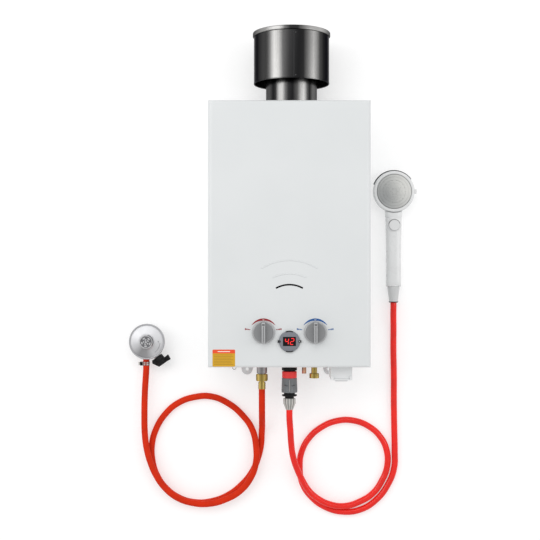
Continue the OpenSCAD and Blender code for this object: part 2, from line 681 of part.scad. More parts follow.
// Release sleeve of the quick coupler: a red ring over a grey grip
module sleeve_grip() {
    color("silver") translate([outlet_x, sleeve_y0, pipe_z]) rotate([-90, 0, 0]) difference() {
        rotate_extrude() {
            polygon([[core_r + fit, 0], [17.2, 0], [17.5, 4], [16.6, 27], [16.5, 31], [core_r + fit, 31]]);
            polygon([[core_r + fit, 30], [15.6, 30], [15.6, 32], [16.25, 33], [16.25, sleeve_len - 1],
                [15.2, sleeve_len], [core_r + fit, sleeve_len]]);
        }
        // grip flutes round the grey part
        for (a = [0 : 30 : 330]) rotate([0, 0, a]) translate([18.4, 0, -1]) cylinder(h = 26, r = 2);
    }
}
module shower_hose_nut() {
    color("lightslategray") translate([outlet_x, outlet_end_y, pipe_z]) rotate([-90, 0, 0]) difference() {
        rotate_extrude() polygon([[0, 0], [7.4, 0], [8.15, 3], [12.4, 12], [13.3, 13.5], [13.3, 24.2],
            [12.5, 25], [0, 25]]);
        for (a = [0 : 20 : 340]) rotate([0, 0, a]) translate([14, 0, 13]) cylinder(h = 14, r = 1.1);
    }
}
module relief_tube() {
    color("chocolate") difference() {
        rod_y(4.8, relief_x, bottom_y - 22.5, knob_y - 30, pipe_z);
        rod_y(3.6, relief_x, bottom_y - 24, bottom_y, pipe_z);
    }
}
module water_inlet() {
    color("darkgoldenrod") difference() {
        union() {
            rod_y(6.3, inlet_x, bottom_y - 24, knob_y - 30, pipe_z);
            rod_y(inlet_thread_r, inlet_x, bottom_y - 32.5, bottom_y - 22.5, pipe_z);
        }
        rod_y(4.5, inlet_x, bottom_y - 34, bottom_y - 2, pipe_z);
    }
}

// Places of the handset, which the shower hose's route ends at
head_x = 234;
head_y = 98;
grip_z = 17;
grip_y0 = -112;
nut_y0 = -146;
head_z1 = 34;
ring_z0 = 24;
seam_y = 40.7;
waist_y = -35;
button_y = 23.5;
button_r = 12;
nut_end_y = grip_y0 + 0.8;

// ---------- hoses ----------
reg_x = -312;
reg_y = -233.5;
reg_out_x = -315;
reg_out_y = -272;
gas_route = [[reg_out_x, reg_out_y, reg_z], [-315, -291, reg_z], [-318, -345, 20.5], [-319, -400, 21.5],
    [-318, -440, 21.5], [-314, -471, 21.5], [-306, -501, 21.5], [-293, -531, 21.5], [-274, -558, 21.5],
    [-247, -580, 21.5], [-213, -592, 21.5], [-175, -594, 21.5], [-138, -584, 21.5], [-107, -566, 21.5],
    [-84, -538, 21.5], [-72, -505, 21.5], [-71, -470, 19], [-80, -430, 14], [-101, -400, 10],
    [-132, -374, 7.5], [-170, -358, 7], [-208, -359, 7], [-245, -372, 7], [-275, -398, 7],
    [-295, -431, 7], [-304, -465, 7], [-303, -500, 7], [-293, -533, 7], [-272, -563, 7],
    [-243, -584, 7], [-208, -594, 7], [-172, -592, 7], [-136, -579, 7], [-104, -555, 7],
    [-80, -525, 7], [-66, -491, 7], [-60, -462, 7], [-59, -442, 9.5], [-58, -423, 17.5],
    [-58, -405, 33.5], [-58, -387, 49.5], [-58, -369, 57.5], [gas_x, -351, pipe_z],
    [gas_x, gas_end_y, pipe_z]];
shower_route = [[outlet_x, outlet_end_y, pipe_z], [outlet_x, -397, pipe_z], [4, -425, 56], [6, -455, 47],
    [10, -485, 36], [18, -512, 28], [30, -539, 22.5], [46, -565, 21.5], [66, -583, 20], [92, -596, 17.5],
    [126, -601, 13.5], [162, -591, 8.5], [190, -573, 7], [209, -546, 7], [221, -514, 7], [220, -478, 7],
    [206, -448, 7], [181, -425, 7], [146, -411.5, 7], [110, -412, 7], [75, -426, 7], [48, -449, 7],
    [31, -479, 7], [26, -512, 7], [32, -552, 7], [52, -582, 7], [84, -605, 7], [122, -615, 7],
    [162, -610, 7], [196, -589, 7], [223, -554, 7], [237, -516, 7], [238, -480, 7], [237, -430, 7],
    [236, -370, 7], [236, -310, 7], [235, -250, 7], [235, -205, 9], [234, -175, 15], [234, -160, grip_z],
    [234, nut_y0, grip_z]];
module gas_hose() { color("orangered") hose(gas_route, hose_r, 10); }
module shower_hose() { color("red") hose(shower_route, hose_r, 10); }

// ---------- regulator ----------
nozzle_z = 22;
reg_seam_z = 33.5;
nozzle_turn = -55;
nut_d0 = reg_r + 0.6;
nut_core_r = reg_thread_r + 3.1;
wing_r = nut_core_r + 7;
wing_t = 9;
nut_bore_d0 = nut_d0 + 8;
nut_d1 = nut_d0 + 20;
module on_nozzle() { translate([reg_x, reg_y, nozzle_z]) rotate([0, 0, nozzle_turn]) children(); }
module regulator_body() {
    color("silver") {
        translate([reg_x, reg_y, 0]) rotate_extrude() polygon([[0, 0], [22, 0], [27, 3], [30, 10], [31, 26],
            [reg_r - 2, 29], [reg_r, 30], [reg_r, reg_seam_z], [0, reg_seam_z]]);
        // hose outlet and cylinder nozzle
        rod_y(8.5, reg_out_x, reg_out_y, reg_y - 20, reg_z);
        on_nozzle() rod_x(10, 22, nut_d0 - gap, 0, 0);
        on_nozzle() rod_x(7, 22, nut_bore_d0, 0, 0);
    }
}
module regulator_cover() {
    color("silver") translate([reg_x, reg_y, reg_seam_z]) difference() {
        rotate_extrude() polygon([[0, 0], [reg_r, 0], [reg_r, 2.5], [reg_r - 1, 3.5], [reg_r - 4, 3.5],
            [reg_r - 5, 4.5], [18, 9.5], [16, 12], [0, 12]]);
        // small vent
        translate([26, 0, 3]) cylinder(h = 8, r = 1.2);
    }
}
module regulator_cap() {
    color("gray") translate([reg_x, reg_y, reg_seam_z + 12]) difference() {
        rotate_extrude() polygon([[0, 0], [14.5, 0], [14.5, 5], [13.5, 6], [0, 6]]);
        // slot for turning the cap
        translate([-9, -1.2, 4.5]) cube([18, 2.4, 3]);
    }
}
module regulator_inlet_nut() {
    color("black") on_nozzle() difference() {
        union() {
            rod_x(nut_core_r, nut_d0, nut_d1, 0, 0);
            for (side = [0, 1]) mirror([0, side, 0]) {
                // broad wing with a waist at its root
                translate([0, 0, -wing_t / 2]) linear_extrude(wing_t) polygon([[nut_d0 + 1, 4],
                    [nut_d0 + 1, nut_core_r - 2], [nut_d0 + 5, nut_core_r], [nut_d0 + 6.5, wing_r - 1],
                    [nut_d0 + 8, wing_r], [nut_d1 - 2, wing_r - 1], [nut_d1, wing_r - 3], [nut_d1, 4]]);
                // grip ribs on the wing
                for (k = [0 : 2]) box(nut_d0 + 9 + 3.4 * k, nut_d0 + 10.4 + 3.4 * k, nut_core_r, wing_r - 2,
                    -wing_t / 2 - 0.6, wing_t / 2 + 0.6);
            }
        }
        rod_x(7 + fit, nut_d0 - 1, nut_bore_d0 + 1, 0, 0);
        rod_x(reg_thread_r, nut_bore_d0, nut_d1 + 1, 0, 0);
    }
}
clamp_y = reg_out_y - 11;
clamp_w = 9;
clamp_t = 1;
module hose_clamp() {
    color("silver") {
        difference() {
            rod_y(hose_r + 0.1 + clamp_t, reg_out_x, clamp_y - clamp_w / 2, clamp_y + clamp_w / 2, reg_z);
            rod_y(hose_r + 0.1, reg_out_x, clamp_y - clamp_w, clamp_y + clamp_w, reg_z);
        }
        // worm housing and its screw
        translate([reg_out_x - hose_r - 0.6, clamp_y, reg_z]) {
            box(-5.5, 0, -clamp_w / 2 + 0.5, clamp_w / 2 - 0.5, -5, 6);
            difference() {
                rod_x(3, -9.5, -4, 0, 1);
                box(-10, -8.5, -3.5, 3.5, 0.6, 1.4);
            }
        }
    }
}

// ---------- handset ----------
// A slice of the grip, w wide and h high, with round sides
module grip_slice(w, h, y, side_r = 13) {
    translate([head_x, y, grip_z]) rotate([90, 0, 0]) linear_extrude(1) offset(r = side_r, $fn = 32)
        square([w - 2 * side_r, h - 2 * side_r], center = true);
}
module handset_shell() {
    color("gainsboro") difference() {
        union() {
            translate([head_x, head_y, 0]) rotate_extrude() polygon([[0, 2], [24, 2], [31, 3.2], [38, 6.5],
                [42.5, 10.5], [head_r - 1, 15.5], [head_r, 20], [head_r, ring_z0], [face_r + 1, ring_z0],
                [face_r + 1, head_z1 - 6], [0, head_z1 - 6]]);
            // neck between the seam and the head
            hull() {
                grip_slice(38, 31, seam_y + 1.5);
                grip_slice(38, 28, head_y - head_r + 14, 10);
            }
            // seam
            grip_slice(34.6, 30.4, seam_y + 0.5);
            // grip, waisted, with a hollow round end over the nut
            difference() {
                union() {
                    hull() {
                        grip_slice(34.4, 30.6, seam_y - 0.5);
                        grip_slice(36, 32, seam_y - 2.5);
                        grip_slice(33, 31, waist_y);
                    }
                    hull() {
                        grip_slice(33, 31, waist_y);
                        grip_slice(33.6, 30, grip_y0 + 1);
                    }
                }
                rod_z(end_hollow_r, head_x, grip_y0 + end_hollow - end_hollow_r, -1, 40);
            }
            rod_y(11, head_x, nut_end_y + gap, grip_y0 + 8, grip_z);
            rod_z(button_r + 2.6, head_x, button_y, grip_z, head_z1);
        }
        rod_z(button_r + gap, head_x, button_y, 30 - button_travel, 40);
        rod_z(face_r + 1, head_x, head_y, head_z1 - 6, 60);
        // seat of the selector ring, clear of the neck
        translate([head_x, head_y, ring_z0]) rotate_extrude() translate([face_r + 1, 0])
            square([head_r - face_r, 16]);
    }
}
end_hollow = 3.5;
end_hollow_r = 38;
module pause_button() {
    color("gray") translate([head_x, button_y, 0]) {
        rod_z(button_r, 0, 0, 30 + gap, head_z1 + 2);
        translate([0, 0, head_z1 + 1.9]) cylinder(h = 1.1, r1 = button_r, r2 = button_r - 1.2);
    }
}
module spray_face() {
    color("gray") translate([head_x, head_y, 0]) difference() {
        union() {
            rod_z(face_r - 3, 0, 0, head_z1 - 6, head_z1 - 3);
            rod_z(face_r, 0, 0, head_z1 - 3, head_z1);
        }
        // rings of spray holes
        for (k = [1 : 4], a = [0 : 60 / k : 359]) rotate([0, 0, a]) translate([k * 8, 0, head_z1 - 2])
            cylinder(h = 3, r = 0.8, $fn = 6);
    }
}
module spray_ring() {
    ring_r = head_r - 0.5;
    round_r = 4;
    color("lightgray") translate([head_x, head_y, ring_z0 + gap]) difference() {
        union() {
            rotate_extrude() polygon(concat([[face_r + 1 + fit, 0], [ring_r, 0]],
                [for (a = [0 : 15 : 90]) [ring_r - round_r * (1 - cos(a)), 5.5 + round_r * sin(a)]],
                [[face_r + 2, 9.5], [face_r + 1 + fit, 9]]));
            // selector tab
            translate([head_r - 2, -5, 0]) cube([5.5, 10, 5]);
            for (k = [-1 : 1]) translate([head_r + 3.2, k * 3.3, 0]) cylinder(h = 5, r = 1, $fn = 24);
        }
        translate([0, 0, -1]) cylinder(h = 20, r = face_r + 1 + fit);
    }
}
module handset_nut() {
    nut_len = nut_end_y - nut_y0;
    color("lightgray") translate([head_x, nut_y0, grip_z]) rotate([-90, 0, 0]) difference() {
        rotate_extrude() polygon([[0, 0], [10.2, 0], [10.6, 1], [9.9, 2.2], [13.2, nut_len - 6],
            [13.2, nut_len], [0, nut_len]]);
        for (a = [0 : 24 : 336]) rotate([0, 0, a]) translate([13.9, 0, nut_len - 15])
            cylinder(h = 16, r = 1.1);
    }
}

back_plate();
front_cover();
cover_screws();
hanging_eye();
flame_window();
exhaust_hood();
flue_pipe();
cap_shell();
cap_lid();
cap_brackets();
combustion_chamber();
heat_exchanger();
burner_tray();
burner_bars();
gas_manifold();
electrodes();
thermal_cutout();
gas_valve_body();
solenoid();
water_valve_body();
diaphragm_rod();
microswitch();
cold_pipe();
hot_pipe();
gas_pipe();
pulse_igniter();
battery_box();
battery_door();
batteries();
battery_springs();
display_board();
valve_stem(-knob_x);  // gas_valve_stem
valve_stem(knob_x);  // water_valve_stem
knob(-knob_x);  // gas_knob
knob(knob_x);  // water_knob
display_bezel();
display_lens();
gas_inlet();
hose_swivel_nut();
hose_ferrule();
gas_hose();
water_outlet();
sleeve_grip();
coupler_tail();
shower_hose_nut();
shower_hose();
relief_tube();
water_inlet();
regulator_body();
regulator_cover();
regulator_cap();
regulator_inlet_nut();
hose_clamp();
handset_shell();
spray_face();
spray_ring();
pause_button();
handset_nut();
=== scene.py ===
"""Looks of the portable propane water heater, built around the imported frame.

The heater lies on its back: X runs to the right, Y towards the flue, Z up from the floor. Shapes and places are
in millimetres.
"""

import json
import math
import random

import bmesh
import bpy
from mathutils import Matrix, Vector


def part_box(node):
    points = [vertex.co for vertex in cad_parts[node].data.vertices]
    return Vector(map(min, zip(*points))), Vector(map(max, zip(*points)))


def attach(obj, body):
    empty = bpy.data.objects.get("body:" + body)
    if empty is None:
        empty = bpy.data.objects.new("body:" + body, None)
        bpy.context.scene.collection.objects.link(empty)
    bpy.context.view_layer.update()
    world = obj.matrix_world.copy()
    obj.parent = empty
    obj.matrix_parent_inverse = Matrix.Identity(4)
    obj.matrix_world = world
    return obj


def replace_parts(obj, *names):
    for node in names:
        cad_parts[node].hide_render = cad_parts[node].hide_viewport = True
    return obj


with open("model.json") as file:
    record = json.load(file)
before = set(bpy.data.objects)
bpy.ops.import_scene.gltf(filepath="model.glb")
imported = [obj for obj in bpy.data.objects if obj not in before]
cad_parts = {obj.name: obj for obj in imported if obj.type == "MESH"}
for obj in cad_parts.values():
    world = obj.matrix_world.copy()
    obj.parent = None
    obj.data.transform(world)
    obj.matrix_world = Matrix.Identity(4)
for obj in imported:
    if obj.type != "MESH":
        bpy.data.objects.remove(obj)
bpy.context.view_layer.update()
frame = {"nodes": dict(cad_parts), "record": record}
random.seed(7)
MM = 0.001
FULL = 2 * math.pi
HEATER = "heater"

# ---------------------------------------------------------------- places, as in the part's source
# Casing: the cover's face and half its height
COVER_Z, CASING_HALF_H = 165, 278.5
# The flue's axis and the rain cap's radius
FLUE_X, FLUE_Z, CAP_R = 6, 85, 81
# The right knob's foot and the display's middle
KNOB_X, KNOB_Y, KNOB_Z = 54, -205, 166
DISPLAY_Y = -224
# Gas inlet, water outlet and water inlet, and the height they share
GAS_X, OUT_X, COLD_X, PIPE_Z = -58, 2, 56, 60
# Where the sleeve's red ring meets its grey grip, and the shower hose's nut
SLEEVE_SEAM_Y = -310.5
HOSE_NUT_Y, HOSE_NUT_RIBS = -380, 12
# Regulator, its nozzle with the cylinder nut, and the clamp on its hose
REG_X, REG_Y = -312, -233.5
NOZZLE_Z, NOZZLE_TURN = 22, -55
CLAMP_X, CLAMP_Y, CLAMP_Z = -315, -283, 20
# Handset: the head's middle and face, the button, and the grip's axis and end
HEAD_X, HEAD_Y, FACE_Z = 234, 98, 34
BUTTON_Y, BUTTON_R = 23.5, 12.15
GRIP_Z, HOSE_RING_Y = 17, -147.6

# ---------------------------------------------------------------- camera
LENS_MM = 69.07
CAMERA_PLACE = (-0.0404, -0.0755, 2.320)


def camera():
    """Looks straight down on the floor, from where the photograph was taken."""
    data = bpy.data.cameras.new("camera")
    data.lens = LENS_MM
    data.sensor_width = 36
    eye = bpy.data.objects.new("camera", data)
    eye.location = CAMERA_PLACE
    bpy.context.scene.collection.objects.link(eye)
    bpy.context.scene.camera = eye
    bpy.context.scene.view_settings.view_transform = "Standard"


camera()

# ---------------------------------------------------------------- hoses
# The same points as in the part's source
GAS_ROUTE = [
    (-315, -272, 20), (-315, -291, 20), (-318, -345, 20.5), (-319, -400, 21.5), (-318, -440, 21.5),
    (-314, -471, 21.5), (-306, -501, 21.5), (-293, -531, 21.5), (-274, -558, 21.5), (-247, -580, 21.5),
    (-213, -592, 21.5), (-175, -594, 21.5), (-138, -584, 21.5), (-107, -566, 21.5), (-84, -538, 21.5),
    (-72, -505, 21.5), (-71, -470, 19), (-80, -430, 14), (-101, -400, 10), (-132, -374, 7.5),
    (-170, -358, 7), (-208, -359, 7), (-245, -372, 7), (-275, -398, 7), (-295, -431, 7), (-304, -465, 7),
    (-303, -500, 7), (-293, -533, 7), (-272, -563, 7), (-243, -584, 7), (-208, -594, 7), (-172, -592, 7),
    (-136, -579, 7), (-104, -555, 7), (-80, -525, 7), (-66, -491, 7), (-60, -462, 7), (-59, -442, 9.5),
    (-58, -423, 17.5), (-58, -405, 33.5), (-58, -387, 49.5), (-58, -369, 57.5), (-58, -351, 60),
    (-58, -335, 60),
]
SHOWER_ROUTE = [
    (2, -380, 60), (2, -397, 60), (4, -425, 56), (6, -455, 47), (10, -485, 36), (18, -512, 28),
    (30, -539, 22.5), (46, -565, 21.5), (66, -583, 20), (92, -596, 17.5), (126, -601, 13.5),
    (162, -591, 8.5), (190, -573, 7), (209, -546, 7), (221, -514, 7), (220, -478, 7), (206, -448, 7),
    (181, -425, 7), (146, -411.5, 7), (110, -412, 7), (75, -426, 7), (48, -449, 7), (31, -479, 7),
    (26, -512, 7), (32, -552, 7), (52, -582, 7), (84, -605, 7), (122, -615, 7), (162, -610, 7),
    (196, -589, 7), (223, -554, 7), (237, -516, 7), (238, -480, 7), (237, -430, 7), (236, -370, 7),
    (236, -310, 7), (235, -250, 7), (235, -205, 9), (234, -175, 15), (234, -160, 17), (234, -146, 17),
]
HOSE_R = 7 * MM


def hose(name, route, node):
    """A round hose that runs smoothly through its route's points."""
    data = bpy.data.curves.new(name, "CURVE")
    data.dimensions = "3D"
    data.bevel_depth = 1.0  # each point's radius scales it
    data.bevel_resolution = 7
    data.resolution_u = 6
    data.use_fill_caps = True
    spline = data.splines.new("BEZIER")
    spline.bezier_points.add(len(route) - 1)
    for knot, place in zip(spline.bezier_points, route):
        knot.co = Vector(place) * MM
        knot.radius = HOSE_R
        knot.handle_left_type = knot.handle_right_type = "AUTO"
    piece = bpy.data.objects.new(name, data)
    bpy.context.scene.collection.objects.link(piece)
    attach(piece, HEATER)
    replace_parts(piece, node)
    return piece


gas_hose = hose("gas_hose_skin", GAS_ROUTE, "gas_hose")
shower_hose = hose("shower_hose_skin", SHOWER_ROUTE, "shower_hose")

# ---------------------------------------------------------------- shader maths


class Value:
    """A shader socket on which plain arithmetic adds Math nodes."""

    def __init__(self, look, socket):
        self.look = look
        self.socket = socket

    def math(self, operation, *others):
        node = self.look.node("ShaderNodeMath", {"operation": operation}, [self, *others])
        return Value(self.look, node.outputs[0])

    def __add__(self, other):
        return self.math("ADD", other)

    __radd__ = __add__

    def __rsub__(self, other):
        return (self * -1) + other

    def __mul__(self, other):
        return self.math("MULTIPLY", other)

    __rmul__ = __mul__

    def __truediv__(self, other):
        return self.math("DIVIDE", other)

    def step(self, low, high):
        """0 below low, 1 above high, smooth between."""
        settings = {"interpolation_type": "SMOOTHSTEP"}
        node = self.look.node("ShaderNodeMapRange", settings, {"Value": self, "From Min": low, "From Max": high})
        return Value(self.look, node.outputs[0])


class Look:
    """A material whose principled shader takes colours, roughness and bump from expressions."""

    def __init__(self, name, **constants):
        self.material = bpy.data.materials.new(name)
        self.material.use_nodes = True
        self.tree = self.material.node_tree
        self.shader = self.tree.nodes["Principled BSDF"]
        for socket, value in constants.items():
            self.shader.inputs[socket.replace("_", " ")].default_value = value
        self.coords = self.tree.nodes.new("ShaderNodeTexCoord")

    def node(self, kind, settings, sockets):
        """Adds a node: its settings first, then the values or links of its sockets."""
        made = self.tree.nodes.new(kind)
        for key, value in settings.items():
            setattr(made, key, value)
        pairs = sockets.items() if isinstance(sockets, dict) else enumerate(sockets)
        for key, value in pairs:
            self.feed(made.inputs[key], value)
        return made

    def feed(self, socket, value):
        """Links a value to a socket, or sets it when it is a plain number or colour."""
        if isinstance(value, Value):
            self.tree.links.new(value.socket, socket)
        elif isinstance(value, bpy.types.NodeSocket):
            self.tree.links.new(value, socket)
        else:
            socket.default_value = value

    def place(self, scale=(1, 1, 1), shift=(0, 0, 0)):
        """Object coordinates, moved and stretched."""
        mapping = self.node("ShaderNodeMapping", {}, {
            "Vector": self.coords.outputs["Object"], "Scale": scale, "Location": shift})
        return mapping.outputs[0]

    def axis(self, name, start=0):
        """One object coordinate, in metres from a start in mm."""
        split = self.node("ShaderNodeSeparateXYZ", {}, {"Vector": self.place(shift=[-start * MM] * 3)})
        return Value(self, split.outputs[name])

    def noise(self, size, detail=3, rough=0.5, stretch=(1, 1, 1)):
        """Noise whose blotches are about size metres across."""
        node = self.node("ShaderNodeTexNoise", {}, {
            "Vector": self.place(scale=stretch), "Scale": 1 / size, "Detail": detail, "Roughness": rough})
        return Value(self, node.outputs[0])

    def mix(self, factor, a, b):
        """Colour a at factor 0, colour b at 1."""
        node = self.node("ShaderNodeMix", {"data_type": "RGBA"}, {"Factor": factor, 6: a, 7: b})
        return node.outputs[2]

    def ramp(self, value, stops):
        """Colours along a value: pairs of a place from 0 to 1 and a colour."""
        node = self.tree.nodes.new("ShaderNodeValToRGB")
        elements = node.color_ramp.elements
        elements.remove(elements[1])
        elements[0].position, elements[0].color = stops[0]
        for place, colour in stops[1:]:
            elements.new(place).color = colour
        self.feed(node.inputs["Fac"], value)
        return node.outputs[0]

    def colour(self, value):
        self.feed(self.shader.inputs["Base Color"], value)
        return self

    def rough(self, value):
        self.feed(self.shader.inputs["Roughness"], value)
        return self

    def bump(self, height, depth, strength=1.0, soft=0.0):
        """Bump of depth metres; soft rounds the sharp edges of the mesh in the shading."""
        node = self.node("ShaderNodeBump", {}, {"Height": height, "Distance": depth, "Strength": strength})
        if soft:
            bevel = self.node("ShaderNodeBevel", {"samples": 4}, {"Radius": soft})
            self.feed(node.inputs["Normal"], bevel.outputs[0])
        self.feed(self.shader.inputs["Normal"], node.outputs[0])
        return self


def rgb(r, g, b):
    return (r, g, b, 1.0)


def shade(colour, factor):
    return (colour[0] * factor, colour[1] * factor, colour[2] * factor, 1.0)


# How far, in metres, the shading rounds the sharp edges of plastic and of metal
SOFT_PLASTIC, SOFT_METAL = 0.0006, 0.0005


def moulded(name, colour, rough=0.42, grain=0.0006, depth=0.00003, coat=0.0, spread=0.07, ior=1.46):
    """Moulded plastic: a faint grain, cloudy colour and finger-worn gloss."""
    look = Look(name, Roughness=rough, IOR=ior, Coat_Weight=coat)
    cloud = look.noise(0.045, 4)
    fine = look.noise(grain, 2)
    look.colour(look.mix(cloud.step(0.3, 0.7), colour, shade(colour, 1 - spread)))
    look.rough(rough - 0.06 + 0.12 * look.noise(0.02, 5, 0.6))
    return look.bump(fine, depth, 0.5, SOFT_PLASTIC)


def ribbed(name, colour, centre, count):
    """Moulded plastic with count grooves round an axis along Y, darkened as painted shade."""
    look = moulded(name, colour)
    angle = look.axis("X", centre[0]).math("ARCTAN2", look.axis("Z", centre[1]))
    wave = (angle * count).math("COSINE") * 0.5 + 0.5
    cloud = look.noise(0.01, 4)
    tone = look.mix(cloud.step(0.3, 0.7), colour, shade(colour, 0.85))
    # Painted shade: the colour darkens in the grooves between the ribs
    return look.colour(look.mix(wave.step(0.15, 0.75), shade(colour, 0.42), tone))


def two_tone(name, low, high, border):
    """Moulded plastic in one colour below a border along Y and another above it."""
    look = moulded(name, low)
    side = look.axis("Y", border).step(-0.1 * MM, 0.1 * MM)
    cloud = look.noise(0.02, 4).step(0.3, 0.7)
    below = look.mix(cloud, low, shade(low, 0.85))
    above = look.mix(cloud, high, shade(high, 0.93))
    return look.colour(look.mix(side, below, above))


def metal(name, colour, rough=0.3, stretch=(1, 1, 1), streak=0.0015, depth=0.00002, spread=0.18, metallic=1.0):
    """Metal with tool marks drawn out along the small entries of stretch."""
    look = Look(name, Metallic=metallic, Roughness=rough)
    marks = look.noise(streak, 4, 0.6, stretch)
    cloud = look.noise(0.03, 5, 0.6)
    tone = (0.5 * marks + 0.5 * cloud).step(0.3, 0.7)
    look.colour(look.mix(tone, colour, shade(colour, 1 - spread)))
    look.rough(rough - 0.08 + 0.16 * marks)
    return look.bump(marks, depth, 0.4, SOFT_METAL)


def powder_coat():
    """White powder coat on sheet steel: orange peel, and dust along the upper and lower edges."""
    white = rgb(0.70, 0.718, 0.722)
    look = Look("white_powder_coat", Roughness=0.34, IOR=1.5, Coat_Weight=0.12)
    peel = look.noise(0.0016, 2, 0.4)
    cloud = look.noise(0.16, 3)
    tone = look.mix(cloud.step(0.25, 0.75), white, rgb(0.675, 0.695, 0.70))
    edge = look.axis("Y").math("ABSOLUTE").step((CASING_HALF_H - 8) * MM, CASING_HALF_H * MM)
    dust = 0.35 * (edge * look.noise(0.008, 5, 0.7).step(0.42, 0.75))
    look.colour(look.mix(dust, tone, rgb(0.60, 0.61, 0.60)))
    look.rough(0.30 + 0.10 * peel + 0.08 * cloud)
    return look.bump(peel, 0.00004, 0.6, SOFT_PLASTIC)


def stops_of(bands, dark, light):
    """Colour stops of bands given as degrees and how far the colour is from dark to light."""
    return [(degrees / 360 + 0.5, [a + (b - a) * level for a, b in zip(dark, light)]) for degrees, level in bands]


def spun(name, centre, dark, light, bands, rough, metallic, pitch):
    """A lathe-turned face: painted sheen in light and dark sectors round its middle, and fine rings pitch metres
    apart.
    """
    look = Look(name, Metallic=metallic, Roughness=rough)
    x, y = look.axis("X", centre[0]), look.axis("Y", centre[1])
    angle = y.math("ARCTAN2", x) / FULL + 0.5
    radius = (x * x + y * y).math("SQRT")
    middle = [(a + b) / 2 for a, b in zip(dark, light)]
    rings = (radius * (FULL / pitch)).math("SINE") * 0.5 + 0.5
    # Painted sheen: light and dark sectors round the middle
    painted_sheen = look.mix(radius.step(0.0, 0.022), middle, look.ramp(angle, stops_of(bands, dark, light)))
    cloud = look.noise(0.02, 5, 0.6)
    look.colour(look.mix(0.10 * rings + 0.14 * cloud, painted_sheen, shade(dark, 0.7)))
    look.rough(rough - 0.06 + 0.1 * rings + 0.06 * cloud)
    return look.bump(rings, 0.00004, 0.5, SOFT_PLASTIC)


def painted_reflections(name, centre, dark, light, bands, rough=0.2):
    """Polished metal round an axis along Y, with painted reflections in its colour: long bands from light to dark."""
    look = Look(name, Metallic=1.0, Roughness=rough, Specular_Tint=rgb(0.4, 0.4, 0.41))
    angle = look.axis("X", centre[0]).math("ARCTAN2", look.axis("Z", centre[1])) / FULL + 0.5
    streak = look.noise(0.0012, 4, 0.6, (1, 0.02, 1))
    fleck = look.noise(0.012, 5, 0.7)
    # Painted reflections: light and dark bands round the axis
    bright = look.ramp(angle, stops_of(bands, dark, light))
    look.colour(look.mix(0.22 * streak + 0.12 * fleck, bright, shade(dark, 0.6)))
    look.rough(rough + 0.10 * streak)
    return look.bump(streak, 0.000012, 0.4, SOFT_METAL)


# ---------------------------------------------------------------- finishes
# Dark and light ends of the painted reflections on polished steel, brass and zinc
STEEL_REFLECTION = rgb(0.012, 0.012, 0.013), rgb(0.95, 0.94, 0.92)
BRASS_REFLECTION = rgb(0.16, 0.10, 0.015), rgb(1.0, 0.78, 0.26)
ZINC_REFLECTION = rgb(0.18, 0.17, 0.17), rgb(0.62, 0.6, 0.6)
# Painted reflections: degrees round a pipe's upper line, positive to the right, and how light the painted reflection
# makes the metal there
DRUM_REFLECTION_BANDS = [
    (-180, 0.20), (-100, 0.12), (-66, 0.012), (-54, 0.035), (-42, 0.07), (-35, 0.14), (-28, 0.42), (-21, 0.38),
    (-14, 0.07), (-4, 0.02), (8, 0.006), (17, 0.02), (24, 0.20), (34, 0.62), (39, 0.50), (46, 0.07),
    (55, 0.014), (68, 0.012), (100, 0.12), (180, 0.20),
]
PIPE_REFLECTION_BANDS = [
    (-180, 0.30), (-90, 0.16), (-74, 0.16), (-58, 0.09), (-47, 0.006), (-38, 0.04), (-29, 0.32), (-22, 0.34),
    (-15, 0.08), (-8, 0.015), (2, 0.004), (12, 0.13), (20, 0.50), (27, 0.60), (35, 0.15), (43, 0.01),
    (54, 0.17), (67, 0.18), (90, 0.16), (180, 0.30),
]
LID_REFLECTION_BANDS = [
    (-180, 0.25), (-80, 0.12), (-60, 0.25), (-35, 0.50), (-20, 0.60), (-11, 0.12), (-3, 0.01), (8, 0.015),
    (16, 0.20), (28, 0.50), (45, 0.60), (65, 0.28), (80, 0.12), (180, 0.25),
]
FITTING_REFLECTION_BANDS = [
    (-180, 0.5), (-80, 0.15), (-58, 0.6), (-38, 0.9), (-18, 0.4), (0, 0.2), (18, 0.5), (42, 0.95), (62, 0.4),
    (80, 0.15), (180, 0.5),
]
# Painted sheen: degrees round a face from +X, and how light the painted sheen makes it there
DISC_SHEEN_BANDS = [
    (-180, 0.2), (-140, 0.15), (-90, 0.4), (-45, 0.75), (0, 1.0), (50, 1.0), (90, 0.75), (130, 0.45), (180, 0.2),
]
COVER_SHEEN_BANDS = [
    (-180, 0.9), (-150, 0.6), (-120, 0.12), (-90, 0.2), (-60, 0.7), (-30, 0.75), (0, 0.9), (60, 1.0), (140, 1.0),
    (180, 0.9),
]


def drawn_copper(name):
    """Bare copper with heat stains."""
    look = Look(name, Metallic=1.0, Roughness=0.35)
    stain = look.noise(0.02, 5, 0.65)
    marks = look.noise(0.001, 3, 0.5, (1, 0.05, 1))
    bright = look.mix(stain.step(0.35, 0.65), rgb(0.83, 0.44, 0.28), rgb(0.50, 0.27, 0.18))
    look.colour(look.mix(0.3 * marks, bright, rgb(0.95, 0.62, 0.45)))
    look.rough(0.28 + 0.2 * stain)
    return look.bump(marks, 0.00002, 0.4, SOFT_METAL)


def hose_rubber(name, colour, rough, coat, grain, ior):
    """Hose cover: fine rubber grain, rubbed paler in patches, with dust in the hollows."""
    look = Look(name, Roughness=rough, Coat_Weight=coat, Coat_Roughness=0.08, IOR=ior)
    patch = look.noise(0.03, 5, 0.6)
    fine = look.noise(grain, 3, 0.6)
    base = look.mix(patch.step(0.35, 0.7), colour, shade(colour, 0.86))
    look.colour(look.mix(0.03 * fine, base, rgb(0.95, 0.42, 0.2)))
    look.rough(rough - 0.08 + 0.16 * patch + 0.05 * fine)
    return look.bump(fine, 0.00006, 0.5)


